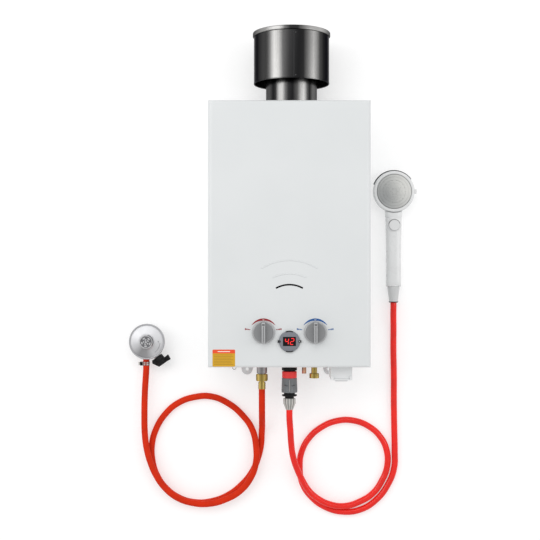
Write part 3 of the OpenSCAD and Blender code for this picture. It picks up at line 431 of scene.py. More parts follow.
def printed(name, colour):
    """Printed ink: a little uneven, with the coat's grain under it."""
    look = Look(name)
    worn = look.noise(0.0015, 4, 0.7)
    look.colour(look.mix(worn.step(0.62, 0.8), colour, shade(colour, 1.25)))
    look.rough(0.40 + 0.1 * worn)
    return look.bump(worn, 0.00001, 0.4)


def glowing(name, colour, strength):
    """A lit segment, a little brighter at its middle."""
    look = Look(name, Roughness=0.3, Emission_Strength=strength)
    flicker = look.noise(0.004, 2)
    look.colour(look.mix(0.2 * flicker, colour, shade(colour, 0.5)))
    look.feed(look.shader.inputs["Emission Color"], look.mix(0.3 * flicker, colour, shade(colour, 0.7)))
    return look


def clamp_steel(name):
    """Bright band, a near-black worm housing and a bright screw tip, from right to left."""
    look = metal(name, rgb(0.62, 0.61, 0.58), 0.3)
    x = look.axis("X", CLAMP_X)
    dark = x.step(-14.2 * MM, -13.5 * MM) * (1 - x.step(-8.5 * MM, -7.5 * MM))
    marks = look.noise(0.002, 4)
    bright = look.mix(marks, rgb(0.70, 0.68, 0.64), rgb(0.42, 0.41, 0.39))
    return look.colour(look.mix(dark, bright, rgb(0.012, 0.012, 0.012)))


def smoked_glass(name):
    """Dark glass with smears."""
    look = Look(name, Roughness=0.08, IOR=1.2)
    smear = look.noise(0.01, 4, 0.6)
    look.colour(look.mix(0.5 * smear, rgb(0.006, 0.006, 0.007), rgb(0.02, 0.02, 0.021)))
    look.rough(0.05 + 0.12 * smear)
    return look


def circuit_board(name):
    """Green board with paler tracks."""
    look = Look(name, Roughness=0.4)
    tracks = look.node("ShaderNodeTexBrick", {}, {
        "Vector": look.place(), "Scale": 160, "Mortar Size": 0.03, "Color1": rgb(0.02, 0.16, 0.07),
        "Color2": rgb(0.02, 0.12, 0.05), "Mortar": rgb(0.05, 0.28, 0.13)})
    look.colour(tracks.outputs[0])
    grain = look.noise(0.001, 2)
    look.rough(0.35 + 0.1 * grain)
    return look.bump(grain, 0.00002, 0.5)


FINISH = {
    "white_paint": powder_coat(),
    "galvanised": metal("galvanised_sheet", rgb(0.86, 0.87, 0.88), 0.42, streak=0.006, spread=0.2, metallic=0.4),
    # Painted reflections: the drum, pipe, lid and the gas and inlet fittings get light and dark bands in their colour
    "dark_stainless": painted_reflections("drum_painted_reflections", (FLUE_X, FLUE_Z), *STEEL_REFLECTION, DRUM_REFLECTION_BANDS),
    "pipe_steel": painted_reflections("pipe_painted_reflections", (FLUE_X, FLUE_Z), *STEEL_REFLECTION, PIPE_REFLECTION_BANDS),
    "stainless": metal("satin_stainless", rgb(0.62, 0.62, 0.60), 0.28, (1, 0.05, 1)),
    "lid_steel": painted_reflections("lid_painted_reflections", (FLUE_X, FLUE_Z), *STEEL_REFLECTION, LID_REFLECTION_BANDS, 0.3),
    "sleeve": two_tone("coupler_sleeve", rgb(0.19, 0.20, 0.21), rgb(0.98, 0.05, 0.05), SLEEVE_SEAM_Y),
    "copper": drawn_copper("bare_copper"),
    "brass": metal("turned_brass", rgb(0.80, 0.56, 0.20), 0.24, (0.3, 1, 0.3), 0.0012, spread=0.3),
    "gas_brass": painted_reflections("gas_brass", (GAS_X, PIPE_Z), *BRASS_REFLECTION, FITTING_REFLECTION_BANDS, 0.28),
    "inlet_brass": painted_reflections("inlet_brass", (COLD_X, PIPE_Z), *BRASS_REFLECTION, FITTING_REFLECTION_BANDS, 0.28),
    "inlet_zinc": painted_reflections("inlet_zinc", (GAS_X, PIPE_Z), *ZINC_REFLECTION, FITTING_REFLECTION_BANDS, 0.4),
    "zinc": metal("cast_zinc", rgb(0.60, 0.60, 0.61), 0.34, streak=0.0009, depth=0.00006, spread=0.12),
    "cast_cover": spun("cover_painted_sheen", (REG_X, REG_Y), rgb(0.22, 0.22, 0.225), rgb(0.80, 0.80, 0.82), COVER_SHEEN_BANDS,
                       rough=0.42, metallic=0.35, pitch=0.0016),
    "rim_zinc": metal("rim_zinc", rgb(0.47, 0.47, 0.485), 0.4, streak=0.001, metallic=0.6),
    "relief_zinc": metal("relief_zinc", rgb(0.62, 0.62, 0.63), 0.36, streak=0.0009, metallic=0.6),
    # Dark zinc for painted shade on the regulator's boss
    "relief_shade": metal("relief_shade", rgb(0.17, 0.17, 0.18), 0.5, streak=0.0009, metallic=0.4),
    "clamp": clamp_steel("clamp_steel"),
    "heat_glass": smoked_glass("heat_glass"),
    "ceramic": moulded("ceramic", rgb(0.85, 0.84, 0.80), 0.3, 0.0008, 0.00002),
    "black_plastic": moulded("black_plastic", rgb(0.006, 0.006, 0.0065), 0.45, spread=0.2, ior=1.3),
    "grey_plastic": moulded("grey_plastic", rgb(0.24, 0.245, 0.255), 0.40),
    "knob_grey": moulded("knob_grey", rgb(0.245, 0.25, 0.255), 0.34, coat=0.15),
    "knob_skirt": moulded("knob_skirt", rgb(0.44, 0.445, 0.45), 0.3, coat=0.3),
    "knob_bar": moulded("knob_bar", rgb(0.38, 0.385, 0.39), 0.3, coat=0.2),
    # Dark grey for painted shadow on the handset
    "painted_shade_grey": moulded("painted_shade_grey", rgb(0.05, 0.052, 0.055), 0.3, coat=0.3),
    "seam_light": metal("seam_light", rgb(0.09, 0.09, 0.09), 0.35),
    # The hose's red, darkened as painted shade, for the clamp's slots
    "shaded_hose_red": moulded("shaded_hose_red", rgb(0.30, 0.015, 0.008), 0.5),
    "bezel_grey": moulded("bezel_grey", rgb(0.20, 0.21, 0.235), 0.40, 0.0005, 0.00005),
    "silver_plastic": moulded("silver_plastic", rgb(0.64, 0.645, 0.65), 0.32, coat=0.2),
    "handset_white": moulded("handset_white", rgb(0.75, 0.755, 0.755), 0.28, 0.004, 0.00001, coat=0.3, spread=0.04),
    "disc_grey": spun("spray_disc_painted_sheen", (HEAD_X, HEAD_Y), rgb(0.27, 0.28, 0.285), rgb(0.73, 0.73, 0.70), DISC_SHEEN_BANDS,
                      rough=0.36, metallic=0.3, pitch=0.003),
    "nut_ribs": ribbed("nut_ribs", rgb(0.58, 0.57, 0.54), (OUT_X, PIPE_Z), HOSE_NUT_RIBS),
    "nut_grey": moulded("nut_grey", rgb(0.46, 0.45, 0.43), 0.4, 0.0007, 0.00003),
    "nut_white": moulded("nut_white", rgb(0.62, 0.625, 0.625), 0.36, 0.0007, 0.00003),
    "white_plastic": moulded("battery_white", rgb(0.82, 0.83, 0.835), 0.36, spread=0.04),
    "display_black": smoked_glass("display_window"),
    "circuit_green": circuit_board("circuit_board"),
    "cell_wrap": moulded("cell_jacket", rgb(0.09, 0.14, 0.07), 0.22, coat=0.4),
    "orange_rubber": hose_rubber("gas_hose_rubber", rgb(0.66, 0.024, 0.003), 0.5, 0.0, 0.0009, 1.18),
    "red_hose": hose_rubber("shower_hose_cover", rgb(0.86, 0.014, 0.010), 0.2, 0.25, 0.0005, 1.3),
    "ink_red": printed("ink_red", rgb(0.27, 0.008, 0.014)),
    "ink_blue": printed("ink_blue", rgb(0.004, 0.085, 0.29)),
    "label_yellow": printed("label_yellow", rgb(0.62, 0.34, 0.004)),
    "label_red": printed("label_red", rgb(0.80, 0.07, 0.01)),
    "label_line": printed("label_line", rgb(0.30, 0.16, 0.01)),
    "label_white": printed("label_white", rgb(0.9, 0.85, 0.8)),
    "segment_red": glowing("segment_red", rgb(0.9, 0.02, 0.02), 0.75),
    "shadow_black": moulded("dark_recess", rgb(0.01, 0.01, 0.011), 0.6),
}

# CAD nodes whose finish differs from their slot's
NODE_FINISH = {
    "flue_pipe": "pipe_steel", "cap_lid": "lid_steel", "gas_knob": "knob_grey", "water_knob": "knob_grey",
    "display_bezel": "bezel_grey", "handset_shell": "handset_white", "spray_ring": "handset_white",
    "pause_button": "handset_white", "handset_nut": "nut_white", "regulator_cover": "cast_cover",
    "regulator_cap": "rim_zinc", "hose_clamp": "clamp", "gas_inlet": "inlet_zinc",
    "hose_swivel_nut": "gas_brass", "hose_ferrule": "gas_brass", "water_inlet": "inlet_brass",
    "shower_hose_nut": "nut_grey", "sleeve_grip": "sleeve", "spray_face": "disc_grey",
}


def dress(piece, finish):
    """Gives a piece one finish in place of what it wears."""
    piece.data.materials.clear()
    piece.data.materials.append(FINISH[finish].material)


SLOT_OF = {row["node"]: row["material_slot"] for row in frame["record"]["subparts"]}
for node_name, node in frame["nodes"].items():
    dress(node, NODE_FINISH.get(node_name, SLOT_OF[node_name]))
dress(gas_hose, "orange_rubber")
dress(shower_hose, "red_hose")

# ---------------------------------------------------------------- mesh helpers
SHARP_DEGREES = 35  # edges that turn further stay sharp


def settle(bm, name, finish, body, smooth=True):
    """Turns a bmesh into a piece that rides on a body and wears a finish."""
    data = bpy.data.meshes.new(name)
    bm.to_mesh(data)
    bm.free()
    piece = bpy.data.objects.new(name, data)
    bpy.context.scene.collection.objects.link(piece)
    for face in data.polygons:
        face.use_smooth = smooth
    if smooth:
        data.set_sharp_from_angle(angle=math.radians(SHARP_DEGREES))
    dress(piece, finish)
    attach(piece, body)
    return piece


def piece_of(name, finish, body, build, smooth=True):
    """Makes a piece from a function that fills a bmesh."""
    bm = bmesh.new()
    build(bm)
    return settle(bm, name, finish, body, smooth)


def skin(bm, rows):
    """Faces between neighbouring rows, each a closed loop of as many vertices."""
    made = []
    for a, b in zip(rows, rows[1:]):
        for k in range(len(a)):
            after = (k + 1) % len(a)
            made.append(bm.faces.new((a[k], a[after], b[after], b[k])))
    return made


def block(bm, low, high, width):
    """A box between two corners, its edges rounded by width."""
    size = [(b - a) * MM for a, b in zip(low, high)]
    middle = [(a + b) / 2 * MM for a, b in zip(low, high)]
    place = Matrix.Translation(middle) @ Matrix.Diagonal((*size, 1))
    made = bmesh.ops.create_cube(bm, size=1, matrix=place)
    edges = list({e for v in made["verts"] for e in v.link_edges})
    bmesh.ops.bevel(bm, geom=edges, offset=width * MM, segments=2, profile=0.5, affect="EDGES",
                    material=-1, clamp_overlap=True)


def turned(bm, profile, place, steps=72):
    """Spins a profile of (radius, height) round its own axis, then puts it in place."""
    before = set(bm.verts)
    fresh = [bm.verts.new((r * MM, 0, h * MM)) for r, h in profile]
    edges = [bm.edges.new(pair) for pair in zip(fresh, fresh[1:])]
    bmesh.ops.spin(bm, geom=fresh + edges, cent=(0, 0, 0), axis=(0, 0, 1), angle=FULL, steps=steps, use_merge=True)
    bmesh.ops.remove_doubles(bm, verts=[v for v in bm.verts if v not in before], dist=1e-6)
    own = [v for v in bm.verts if v not in before]
    bmesh.ops.transform(bm, matrix=place, verts=own)
    bmesh.ops.recalc_face_normals(bm, faces=list({f for v in own for f in v.link_faces}))


def at(x, y, z, tilt=(0, 0, 0)):
    """A place, with turns in degrees about X, Y and Z."""
    turn = Matrix.Rotation(math.radians(tilt[2]), 4, "Z") @ Matrix.Rotation(math.radians(tilt[1]), 4, "Y")
    turn = turn @ Matrix.Rotation(math.radians(tilt[0]), 4, "X")
    return Matrix.Translation((x * MM, y * MM, z * MM)) @ turn


ALONG_Y = (-90, 0, 0)


def plate(bm, outline, z, thick):
    """A flat plate with an outline, standing from z up by thick."""
    verts = [bm.verts.new((x * MM, y * MM, z * MM)) for x, y in outline]
    face = bm.faces.new(verts)
    made = bmesh.ops.extrude_face_region(bm, geom=[face])
    risen = [v for v in made["geom"] if isinstance(v, bmesh.types.BMVert)]
    bmesh.ops.translate(bm, verts=risen, vec=(0, 0, thick * MM))
    bmesh.ops.recalc_face_normals(bm, faces=list({f for v in verts + risen for f in v.link_faces}))


def arc(cx, cy, r, start, end, count):
    """Points of an arc, in degrees from +X."""
    angles = [math.radians(start + (end - start) * i / count) for i in range(count + 1)]
    return [(cx + r * math.cos(a), cy + r * math.sin(a)) for a in angles]


def sector(bm, cx, cy, r0, r1, start, end, z, thick, count=24):
    """A flat piece of a ring, lying in the XY plane."""
    plate(bm, arc(cx, cy, r1, start, end, count) + arc(cx, cy, r0, end, start, count), z, thick)


def bent_strip(bm, cx, cz, r0, r1, start, end, y0, y1, count=8):
    """A strip bent round an axis along Y; its angles are in degrees from +Z towards +X."""
    rows = []
    for i in range(count + 1):
        a = math.radians(start + (end - start) * i / count)
        corners = ((r0, y0), (r1, y0), (r1, y1), (r0, y1))
        rows.append([bm.verts.new(((cx + r * math.sin(a)) * MM, y * MM, (cz + r * math.cos(a)) * MM))
                     for r, y in corners])
    faces = [bm.faces.new(rows[0]), bm.faces.new(rows[-1][::-1])]
    bmesh.ops.recalc_face_normals(bm, faces=faces + skin(bm, rows))


def round_box(cx, cy, w, h, r, count=5):
    """Outline of a rectangle with round corners."""
    points = []
    for sx, sy, start in ((1, 1, 0), (-1, 1, 90), (-1, -1, 180), (1, -1, 270)):
        points += arc(cx + sx * (w / 2 - r), cy + sy * (h / 2 - r), r, start, start + 90, count)
    return points


# ---------------------------------------------------------------- front panel
KNOBS = {"gas_knob": (-KNOB_X, "ink_red"), "water_knob": (KNOB_X, "ink_blue")}
INK_Z, INK_T = COVER_Z + 0.02, 0.12
STICKER_T, STICKER_INK_T = 0.15, 0.03
STICKER_HEADER, LINE_STEP, LINE_COUNT = 8, 3.3, 7
ARC_R, ARC_START, ARC_END = 28.8, 31, 149


def ink(name, finish, shapes):
    """A print on the cover, from shapes that are each an outline, a height and a thickness."""
    bm = bmesh.new()
    for outline, z, thick in shapes:
        plate(bm, outline, z, thick)
    settle(bm, name, finish, HEATER, smooth=False)


def crescent(cx, finish, name):
    """Tapering arc over a knob: thick over the middle, thin at both ends, with a small tab."""
    count = 32
    outer = arc(cx, KNOB_Y, ARC_R, ARC_START, ARC_END, count)
    inner = []
    for i in range(count + 1):
        share = i / count
        r = ARC_R - 4.2 * math.sin(math.pi * share) ** 0.7 - 0.25
        angle = math.radians(ARC_END + (ARC_START - ARC_END) * share)
        inner.append((cx + r * math.cos(angle), KNOB_Y + r * math.sin(angle)))
    tab = round_box(cx, KNOB_Y + 25.4, 9, 3.6, 1.7)
    dash = round_box(cx, KNOB_Y + 25.6, 4.2, 1.0, 0.45)
    ink(name, finish, [(outer + inner, INK_Z, INK_T), (tab, INK_Z, INK_T + 0.02)])
    ink(name + "_dash", "label_white", [(dash, INK_Z + INK_T, 0.05)])


def level_marks(cx, rising, finish, name):
    """Four plain bars that stand for less and more."""
    foot, half = KNOB_Y + 4.6, 1.1
    shapes = []
    for i in range(4):
        x = cx - 4.5 + 3 * i
        top = foot + 1.7 + 0.7 * (i if rising else 3 - i)
        shapes.append(([(x - half, foot), (x + half, foot), (x + half, top), (x - half, top)], INK_Z, INK_T))
    ink(name, finish, shapes)


for knob, (x, colour) in KNOBS.items():
    crescent(x, colour, knob + "_arc")
    level_marks(x - 33, False, colour, knob + "_marks_left")
    level_marks(x + 32, True, colour, knob + "_marks_right")


def blank_sticker():
    """A plain two-tone sticker with ruled lines."""
    low_x, high_x, low_y, high_y, corner = -160, -113, -276.5, -241, 2
    middle = (low_x + high_x) / 2
    field = round_box(middle, (low_y + high_y) / 2, high_x - low_x, high_y - low_y, corner)
    ink("sticker_field", "label_yellow", [(field, INK_Z, STICKER_T)])
    top = INK_Z + STICKER_T
    header = arc(high_x - corner, high_y - corner, corner, 0, 90, 5)
    header += arc(low_x + corner, high_y - corner, corner, 90, 180, 5)
    header += [(low_x, high_y - STICKER_HEADER), (high_x, high_y - STICKER_HEADER)]
    ink("sticker_header", "label_red", [(header, top, STICKER_INK_T)])
    lines = []
    for i in range(LINE_COUNT):
        y = high_y - STICKER_HEADER - 3.5 - i * LINE_STEP
        left, right = low_x + 3, high_x - 3 - random.uniform(0, 9)
        lines.append(([(left, y), (right, y), (right, y + 0.8), (left, y + 0.8)], top, STICKER_INK_T))
    ink("sticker_lines", "label_line", lines)
    dash = round_box(middle, high_y - 4.2, 26, 1.5, 0.7)
    ink("sticker_dash", "label_white", [(dash, top + STICKER_INK_T, 0.02)])


blank_sticker()

# ---------------------------------------------------------------- display
# A 4 and a 2: their middle, and which of the seven bars are lit, from the top one clockwise, the middle one last
DIGITS = [(-5.4, (0, 1, 1, 0, 0, 1, 1)), (5.6, (1, 1, 0, 1, 1, 0, 1))]
DIGIT_W, DIGIT_H, DIGIT_Z = 6.6, 12.4, 168
BAR = 1.5
LEAN = 0.12


def digit(bm, cx, lit):
    """The lit bars of one leaning digit."""
    w, h = DIGIT_W / 2, DIGIT_H / 2
    places = [(0, h, True), (w, h / 2, False), (w, -h / 2, False), (0, -h, True), (-w, -h / 2, False),
              (-w, h / 2, False), (0, 0, True)]
    for on, (x, y, flat) in zip(lit, places):
        if not on:
            continue
        long = (w if flat else h / 2) - 0.3
        point = BAR / 2
        bar = [(-long, 0), (-long + point, point), (long - point, point), (long, 0), (long - point, -point),
               (-long + point, -point)]
        if not flat:
            bar = [(-b, a) for a, b in bar]
        plate(bm, [(cx + x + a + LEAN * (y + b), DISPLAY_Y + y + b) for a, b in bar], DIGIT_Z, 0.15)


def digits(bm):
    for cx, lit in DIGITS:
        digit(bm, cx, lit)


piece_of("display_digits", "segment_red", HEATER, digits, smooth=False)

BEZEL_FOOT, BEZEL_TOP = COVER_Z + 0.1, 169
BEZEL_R = 21.9
LUG_X, LUG_R = 20.9, 3.3
WINDOW = (13.4, 9.5)


def bezel_face(bm):
    """Round frame with two side lugs round a rectangular window."""
    corner = math.atan2(WINDOW[1], WINDOW[0])
    angles = [FULL * i / 120 for i in range(120)] + [corner, math.pi - corner, math.pi + corner, FULL - corner]
    angles.sort()

    def rim(a):
        lug = LUG_X * abs(math.cos(a))
        inside = LUG_R ** 2 - (LUG_X * math.sin(a)) ** 2
        return max(BEZEL_R, lug + math.sqrt(inside)) if inside > 0 else BEZEL_R

    def window(a):
        return min(WINDOW[0] / max(abs(math.cos(a)), 1e-9), WINDOW[1] / max(abs(math.sin(a)), 1e-9))

    levels = [(rim, 0, BEZEL_FOOT), (rim, 0, BEZEL_TOP - 0.8), (rim, -0.5, BEZEL_TOP - 0.2), (rim, -1.1, BEZEL_TOP),
              (window, 0.5, BEZEL_TOP), (window, 0, BEZEL_TOP - 0.4), (window, 0, BEZEL_FOOT)]
    rows = []
    for edge, shift, z in levels:
        rows.append([bm.verts.new(((edge(a) + shift) * math.cos(a) * MM,
                                   (DISPLAY_Y + (edge(a) + shift) * math.sin(a)) * MM, z * MM)) for a in angles])
    bmesh.ops.recalc_face_normals(bm, faces=skin(bm, rows + rows[:1]))


def bezel_trim():
    """The bezel's face, its dark catches at top and bottom, and the screws in its two lugs."""
    def catches(bm):
        for middle in (90, -90):
            sector(bm, 0, DISPLAY_Y, 20.2, 22.4, middle - 21, middle + 21, BEZEL_TOP - 1.5, 1.8)
            for x, y in arc(0, DISPLAY_Y, 21.3, middle - 18, middle + 18, 4):
                block(bm, (x - 0.9, y - 1.0, BEZEL_TOP + 0.2), (x + 0.9, y + 1.0, BEZEL_TOP + 1.0), 0.2)
        for side in (0, 180):
            sector(bm, 0, DISPLAY_Y, 22.6, 24.5, side - 6, side + 6, BEZEL_TOP - 2.5, 2.7, 6)

    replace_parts(piece_of("bezel_face", "bezel_grey", HEATER, bezel_face), "display_bezel")
    piece_of("bezel_catches", "shadow_black", HEATER, catches)
    for side, place in ((-1, "left"), (1, "right")):
        x = side * LUG_X
        piece_of("bezel_lug_" + place, "shadow_black", HEATER, lambda bm: turned(
            bm, [(1.5, 0), (2.9, 0), (2.9, 0.9), (2.6, 1.3), (1.8, 1.3), (1.5, 0.9), (1.5, 0)],
            at(x, DISPLAY_Y, BEZEL_TOP - 1), 32))
        # The left screw wears shadow black as painted shade; the right one is stainless
        piece_of("bezel_screw_" + place, "stainless" if side > 0 else "shadow_black", HEATER,
                 lambda bm: turned(bm, [(0, 0.2), (1.4, 0.2), (1.4, 0.9), (1.1, 1.3), (0, 1.4)],
                                   at(x, DISPLAY_Y, BEZEL_TOP - 1), 24))


bezel_trim()

# ---------------------------------------------------------------- knobs
HUB_POINTS = 96


def hub_outline(r, reach, share):
    """The knob's inner body seen from the front: a circle drawn out towards the ends of its bar."""
    points = []
    for i in range(HUB_POINTS):
        a = FULL * i / HUB_POINTS
        pull = max(0.0, (abs(math.sin(a)) - share) / (1 - share)) ** 1.5
        points.append(((r + (reach - r) * pull) * math.cos(a), (r + (reach - r) * pull) * math.sin(a)))
    return points


def knob_skin(name, cx):
    """A knob: pale skirt, grey body drawn out at top and bottom, and a grip bar with a pointer slot."""
    def skirt(bm):
        turned(bm, [(0, 0.2), (23.8, 0.2), (24, 0.6), (24, 2.4), (23.5, 3.6), (22.6, 4.4), (21.4, 4.9), (20.9, 5.0),
                    (0, 5.0)], at(cx, KNOB_Y, KNOB_Z), 96)

    def hub(bm):
        levels = ((20.8, 22.6, 4.6), (20.5, 22.4, 9.0), (19.9, 22.1, 11.4), (18.9, 21.4, 12.3))
        rows = []
        for r, reach, z in levels:
            rows.append([bm.verts.new(((cx + x) * MM, (KNOB_Y + y) * MM, (KNOB_Z + z) * MM))
                         for x, y in hub_outline(r, reach, 0.86)])
        skin(bm, rows)
        bm.faces.new(rows[-1])
        bm.faces.new(rows[0][::-1])

    def bar(bm):
        block(bm, (cx - 3.8, KNOB_Y - 22.2, KNOB_Z + 11.5), (cx + 3.8, KNOB_Y + 21.2, KNOB_Z + 23.9), 1.1)

    # The slot and the line down the bar are dark blocks: painted shade of a slot and a groove
    def slot(bm):
        block(bm, (cx - 0.45, KNOB_Y - 19.5, KNOB_Z + 23.5), (cx + 0.45, KNOB_Y + 13.5, KNOB_Z + 23.98), 0.1)
        block(bm, (cx - 2.7, KNOB_Y + 15.2, KNOB_Z + 23.3), (cx + 2.7, KNOB_Y + 17.6, KNOB_Z + 24.0), 0.2)

    parts = (("_skirt", "knob_skirt", skirt), ("_hub", "knob_grey", hub), ("_bar", "knob_bar", bar))
    for part, finish, build in parts:
        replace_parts(piece_of(name + part, finish, name, build), name)
    piece_of(name + "_slot", "shadow_black", name, slot)


for knob, (x, _) in KNOBS.items():
    knob_skin(knob, x)

# ---------------------------------------------------------------- rain cap
RIVET_TURN = 5


def cap_trim():
    """Lap seam down the drum's front, with two rivets beside it."""
    low, high = [corner[1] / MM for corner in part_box("cap_shell")]

    def seam(bm):
        bent_strip(bm, FLUE_X, FLUE_Z, CAP_R, CAP_R + 0.15, 1.8, 3.0, low + 2.6, high - 0.4)

    def rivets(bm):
        turn = math.radians(RIVET_TURN)
        for y in (low + 6, high - 6):
            x, z = FLUE_X + (CAP_R - 0.1) * math.sin(turn), FLUE_Z + (CAP_R - 0.1) * math.cos(turn)
            turned(bm, [(0, 0), (1.4, 0), (1.3, 0.4), (0.9, 0.7), (0, 0.8)], at(x, y, z, (0, RIVET_TURN, 0)), 20)

    piece_of("cap_seam", "shadow_black", HEATER, seam)
    piece_of("cap_rivets", "seam_light", HEATER, rivets)


cap_trim()

# ---------------------------------------------------------------- coupler
SLEEVE = "release_sleeve"
GRIP_BAR_Y = (-339, -314)


def coupler_trim():
    """Grip bar and dark wings on the sleeve, and the hose nut with its coarse ribs."""
    def bar(bm):
        block(bm, (OUT_X - 0.7, GRIP_BAR_Y[0], PIPE_Z + 16.2), (OUT_X + 0.7, GRIP_BAR_Y[1], PIPE_Z + 18.3), 0.3)

    def wings(bm):
        for side in (-1, 1):
            for shift, y, top in ((5.5, -326.5, 16.6), (9.5, -325.3, 14.8)):
                block(bm, (OUT_X + side * shift - 2, y - 0.6, PIPE_Z + 12.5),
                      (OUT_X + side * shift + 2, y + 0.6, PIPE_Z + top), 0.25)

    def nut(bm):
        count = 144
        levels = ((7.4, 0), (8.0, 3), (11.4, 12), (12.3, 13.4), (12.3, 24), (11.6, 25))
        rows = []
        for r, h in levels:
            ribs = 0.3 if h < 2 else 1.2
            row = []
            for i in range(count):
                a = FULL * i / count
                reach = r + ribs * max(0.0, math.cos(HOSE_NUT_RIBS * a)) ** 0.6
                row.append(bm.verts.new(((OUT_X + reach * math.sin(a)) * MM, (HOSE_NUT_Y + h) * MM,
                                         (PIPE_Z + reach * math.cos(a)) * MM)))
            rows.append(row)
        skin(bm, rows)
        bm.faces.new(rows[0])
        bm.faces.new(rows[-1])
        bmesh.ops.recalc_face_normals(bm, faces=bm.faces[:])

    piece_of("sleeve_bar", "nut_grey", SLEEVE, bar)
    piece_of("sleeve_wings", "shadow_black", SLEEVE, wings)
    made = piece_of("ribbed_nut", "nut_ribs", HEATER, nut)
    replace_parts(made, "shower_hose_nut")
    return made


ribbed_nut = coupler_trim()

# ---------------------------------------------------------------- regulator
# The boss's top, the clamp band's radius, and half the thickness of the cylinder nut's wings
BOSS_Z, BAND_R, WING_HALF = 51.5, 8, 4.5


def regulator_trim():
    """Rim bead, plain relief on the boss, a groove round it, a mark on the cover and the clamp's slots."""
    def rim(bm):
        turned(bm, [(35.8, 36.9), (36.2, 37.5), (37.4, 37.9), (38.7, 37.7), (39.3, 36.9), (39.45, 35.2), (39.2, 34.2),
                    (35.8, 34.2), (35.8, 36.9)], at(REG_X, REG_Y, 0), 96)

    # A dark disc under the relief: painted shade in its hollows
    def boss(bm):
        turned(bm, [(0, BOSS_Z - 0.2), (13.2, BOSS_Z - 0.2), (13.2, BOSS_Z + 0.2), (0, BOSS_Z + 0.2)],
               at(REG_X, REG_Y, 0), 64)

    def relief(bm):
        turned(bm, [(12.6, 51.4), (12.6, 52.6), (13.3, 52.9), (14.0, 52.2), (14.2, 51.0), (12.6, 51.4)],
               at(REG_X, REG_Y, 0), 64)
        turned(bm, [(0, BOSS_Z), (2.2, BOSS_Z), (2.0, BOSS_Z + 0.9), (0, BOSS_Z + 1.2)], at(REG_X, REG_Y, 0), 24)
        for start in range(8, 360, 72):
            sector(bm, REG_X, REG_Y, 3.6, 6.2, start, start + 44, BOSS_Z, 0.9, 8)
            sector(bm, REG_X, REG_Y, 7.6, 10.6, start + 24, start + 58, BOSS_Z, 0.9, 8)

    # A thin dark arc laid on the cover: painted shade of a groove round the boss
    def groove(bm):
        sector(bm, REG_X, REG_Y, 14.6, 15.8, -35, 80, 45.4, 0.25)

    # A darker arc on the cover: painted shade of a groove
    def mark(bm):
        sector(bm, REG_X, REG_Y, 28.6, 30.2, -52, -6, 39.0, 0.9)

    # The slots show the hose's red, darkened with painted shade
    def band_slots(bm):
        bent_strip(bm, CLAMP_X, CLAMP_Z, BAND_R, BAND_R + 0.25, -9, 9, CLAMP_Y - 4.3, CLAMP_Y + 4.3)
        for y in (-0.6, -4.4, 3.2):
            bent_strip(bm, CLAMP_X, CLAMP_Z, BAND_R, BAND_R + 0.25, -62, 62, CLAMP_Y + y, CLAMP_Y + y + 1.2)

    piece_of("regulator_rim", "rim_zinc", HEATER, rim)
    piece_of("boss_painted_shade", "relief_shade", HEATER, boss)
    piece_of("boss_relief", "relief_zinc", HEATER, relief)
    piece_of("boss_groove_shade", "relief_shade", HEATER, groove)
    piece_of("cover_mark", "rim_zinc", HEATER, mark)
    piece_of("clamp_slots", "shaded_hose_red", HEATER, band_slots)


regulator_trim()


def winged_nut(bm):
    """Cylinder nut: a waisted core with a bore, a square wing on one side and a slanted one on the other."""
    turned(bm, [(7.1, 40.4), (9.2, 40.4), (9.9, 41), (10.6, 50.2), (12.3, 51.2), (12.3, 59.2), (11.4, 61.2),
                (10.4, 61.2), (10.4, 52), (7.1, 52), (7.1, 40.4)],
           at(REG_X, REG_Y, NOZZLE_Z, (0, 90, NOZZLE_TURN)), 64)
    c, s = math.cos(math.radians(NOZZLE_TURN)), math.sin(math.radians(NOZZLE_TURN))

    def wing(outline, half=WING_HALF):
        """A wing or a rib, from how far along the nozzle and how far beside it its corners are."""
        plate(bm, [(REG_X + a * c - b * s, REG_Y + a * s + b * c) for a, b in outline], NOZZLE_Z - half, 2 * half)

    wing([(50.6, 11), (49.7, 19.7), (50.6, 20.6), (61.0, 19.4), (61.9, 18.4), (61.2, 11)])
    wing([(41.0, -9.2), (40.8, -15.2), (41.8, -16.4), (46.0, -18.7), (47.4, -18.7), (59.6, -11.9), (59.6, -11),
          (51.4, -11), (50, -9.2)])
    for a in (52.8, 55.8, 58.8):
        wing([(a, 12.4), (a - 0.4, 18.6), (a + 0.9, 18.4), (a + 1.3, 12.4)], WING_HALF + 0.6)


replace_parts(piece_of("winged_nut", "black_plastic", "cylinder_nut", winged_nut),
            "regulator_inlet_nut")

# ---------------------------------------------------------------- handset
# Slices of the grip and the neck: how far along Y, how wide and how high
GRIP_SLICES = [
    (-109, 33.5, 30), (-100, 33.4, 30.1), (-80, 33.1, 30.4), (-60, 33, 30.8), (-35, 33, 31), (-10, 33.7, 31.3),
    (10, 34.6, 31.6), (30, 35.6, 31.9), (38.2, 36, 32), (39.6, 35.6, 31.6), (40.2, 34.4, 30.6), (41.2, 34.4, 30.6),
    (41.8, 37.2, 30.6), (43, 38, 31), (48, 38, 31),
]
SLICE_POINTS = 72
SLICE_POWER = 0.68  # 1 makes an ellipse, less a rounded box
# The grip's end, rounded along its width: the radius, and each row's share of the slice and the round's middle
END_R = 38
END_ROWS = [(0.8, 0.8, -145.5), (0.97, 1, -146.5), (1, 1, -145.7)]
# The ring's seat and how deep the neck goes into the head
SEAT_R, SEAT_Z, NECK_R = 47, 23.6, 42


def slice_of(w, h):
    """A slice across the grip."""
    def squared(value):
        return math.copysign(abs(value) ** SLICE_POWER, value)

    angles = [FULL * i / SLICE_POINTS for i in range(SLICE_POINTS)]
    return [(w / 2 * squared(math.cos(a)), h / 2 * squared(math.sin(a))) for a in angles]


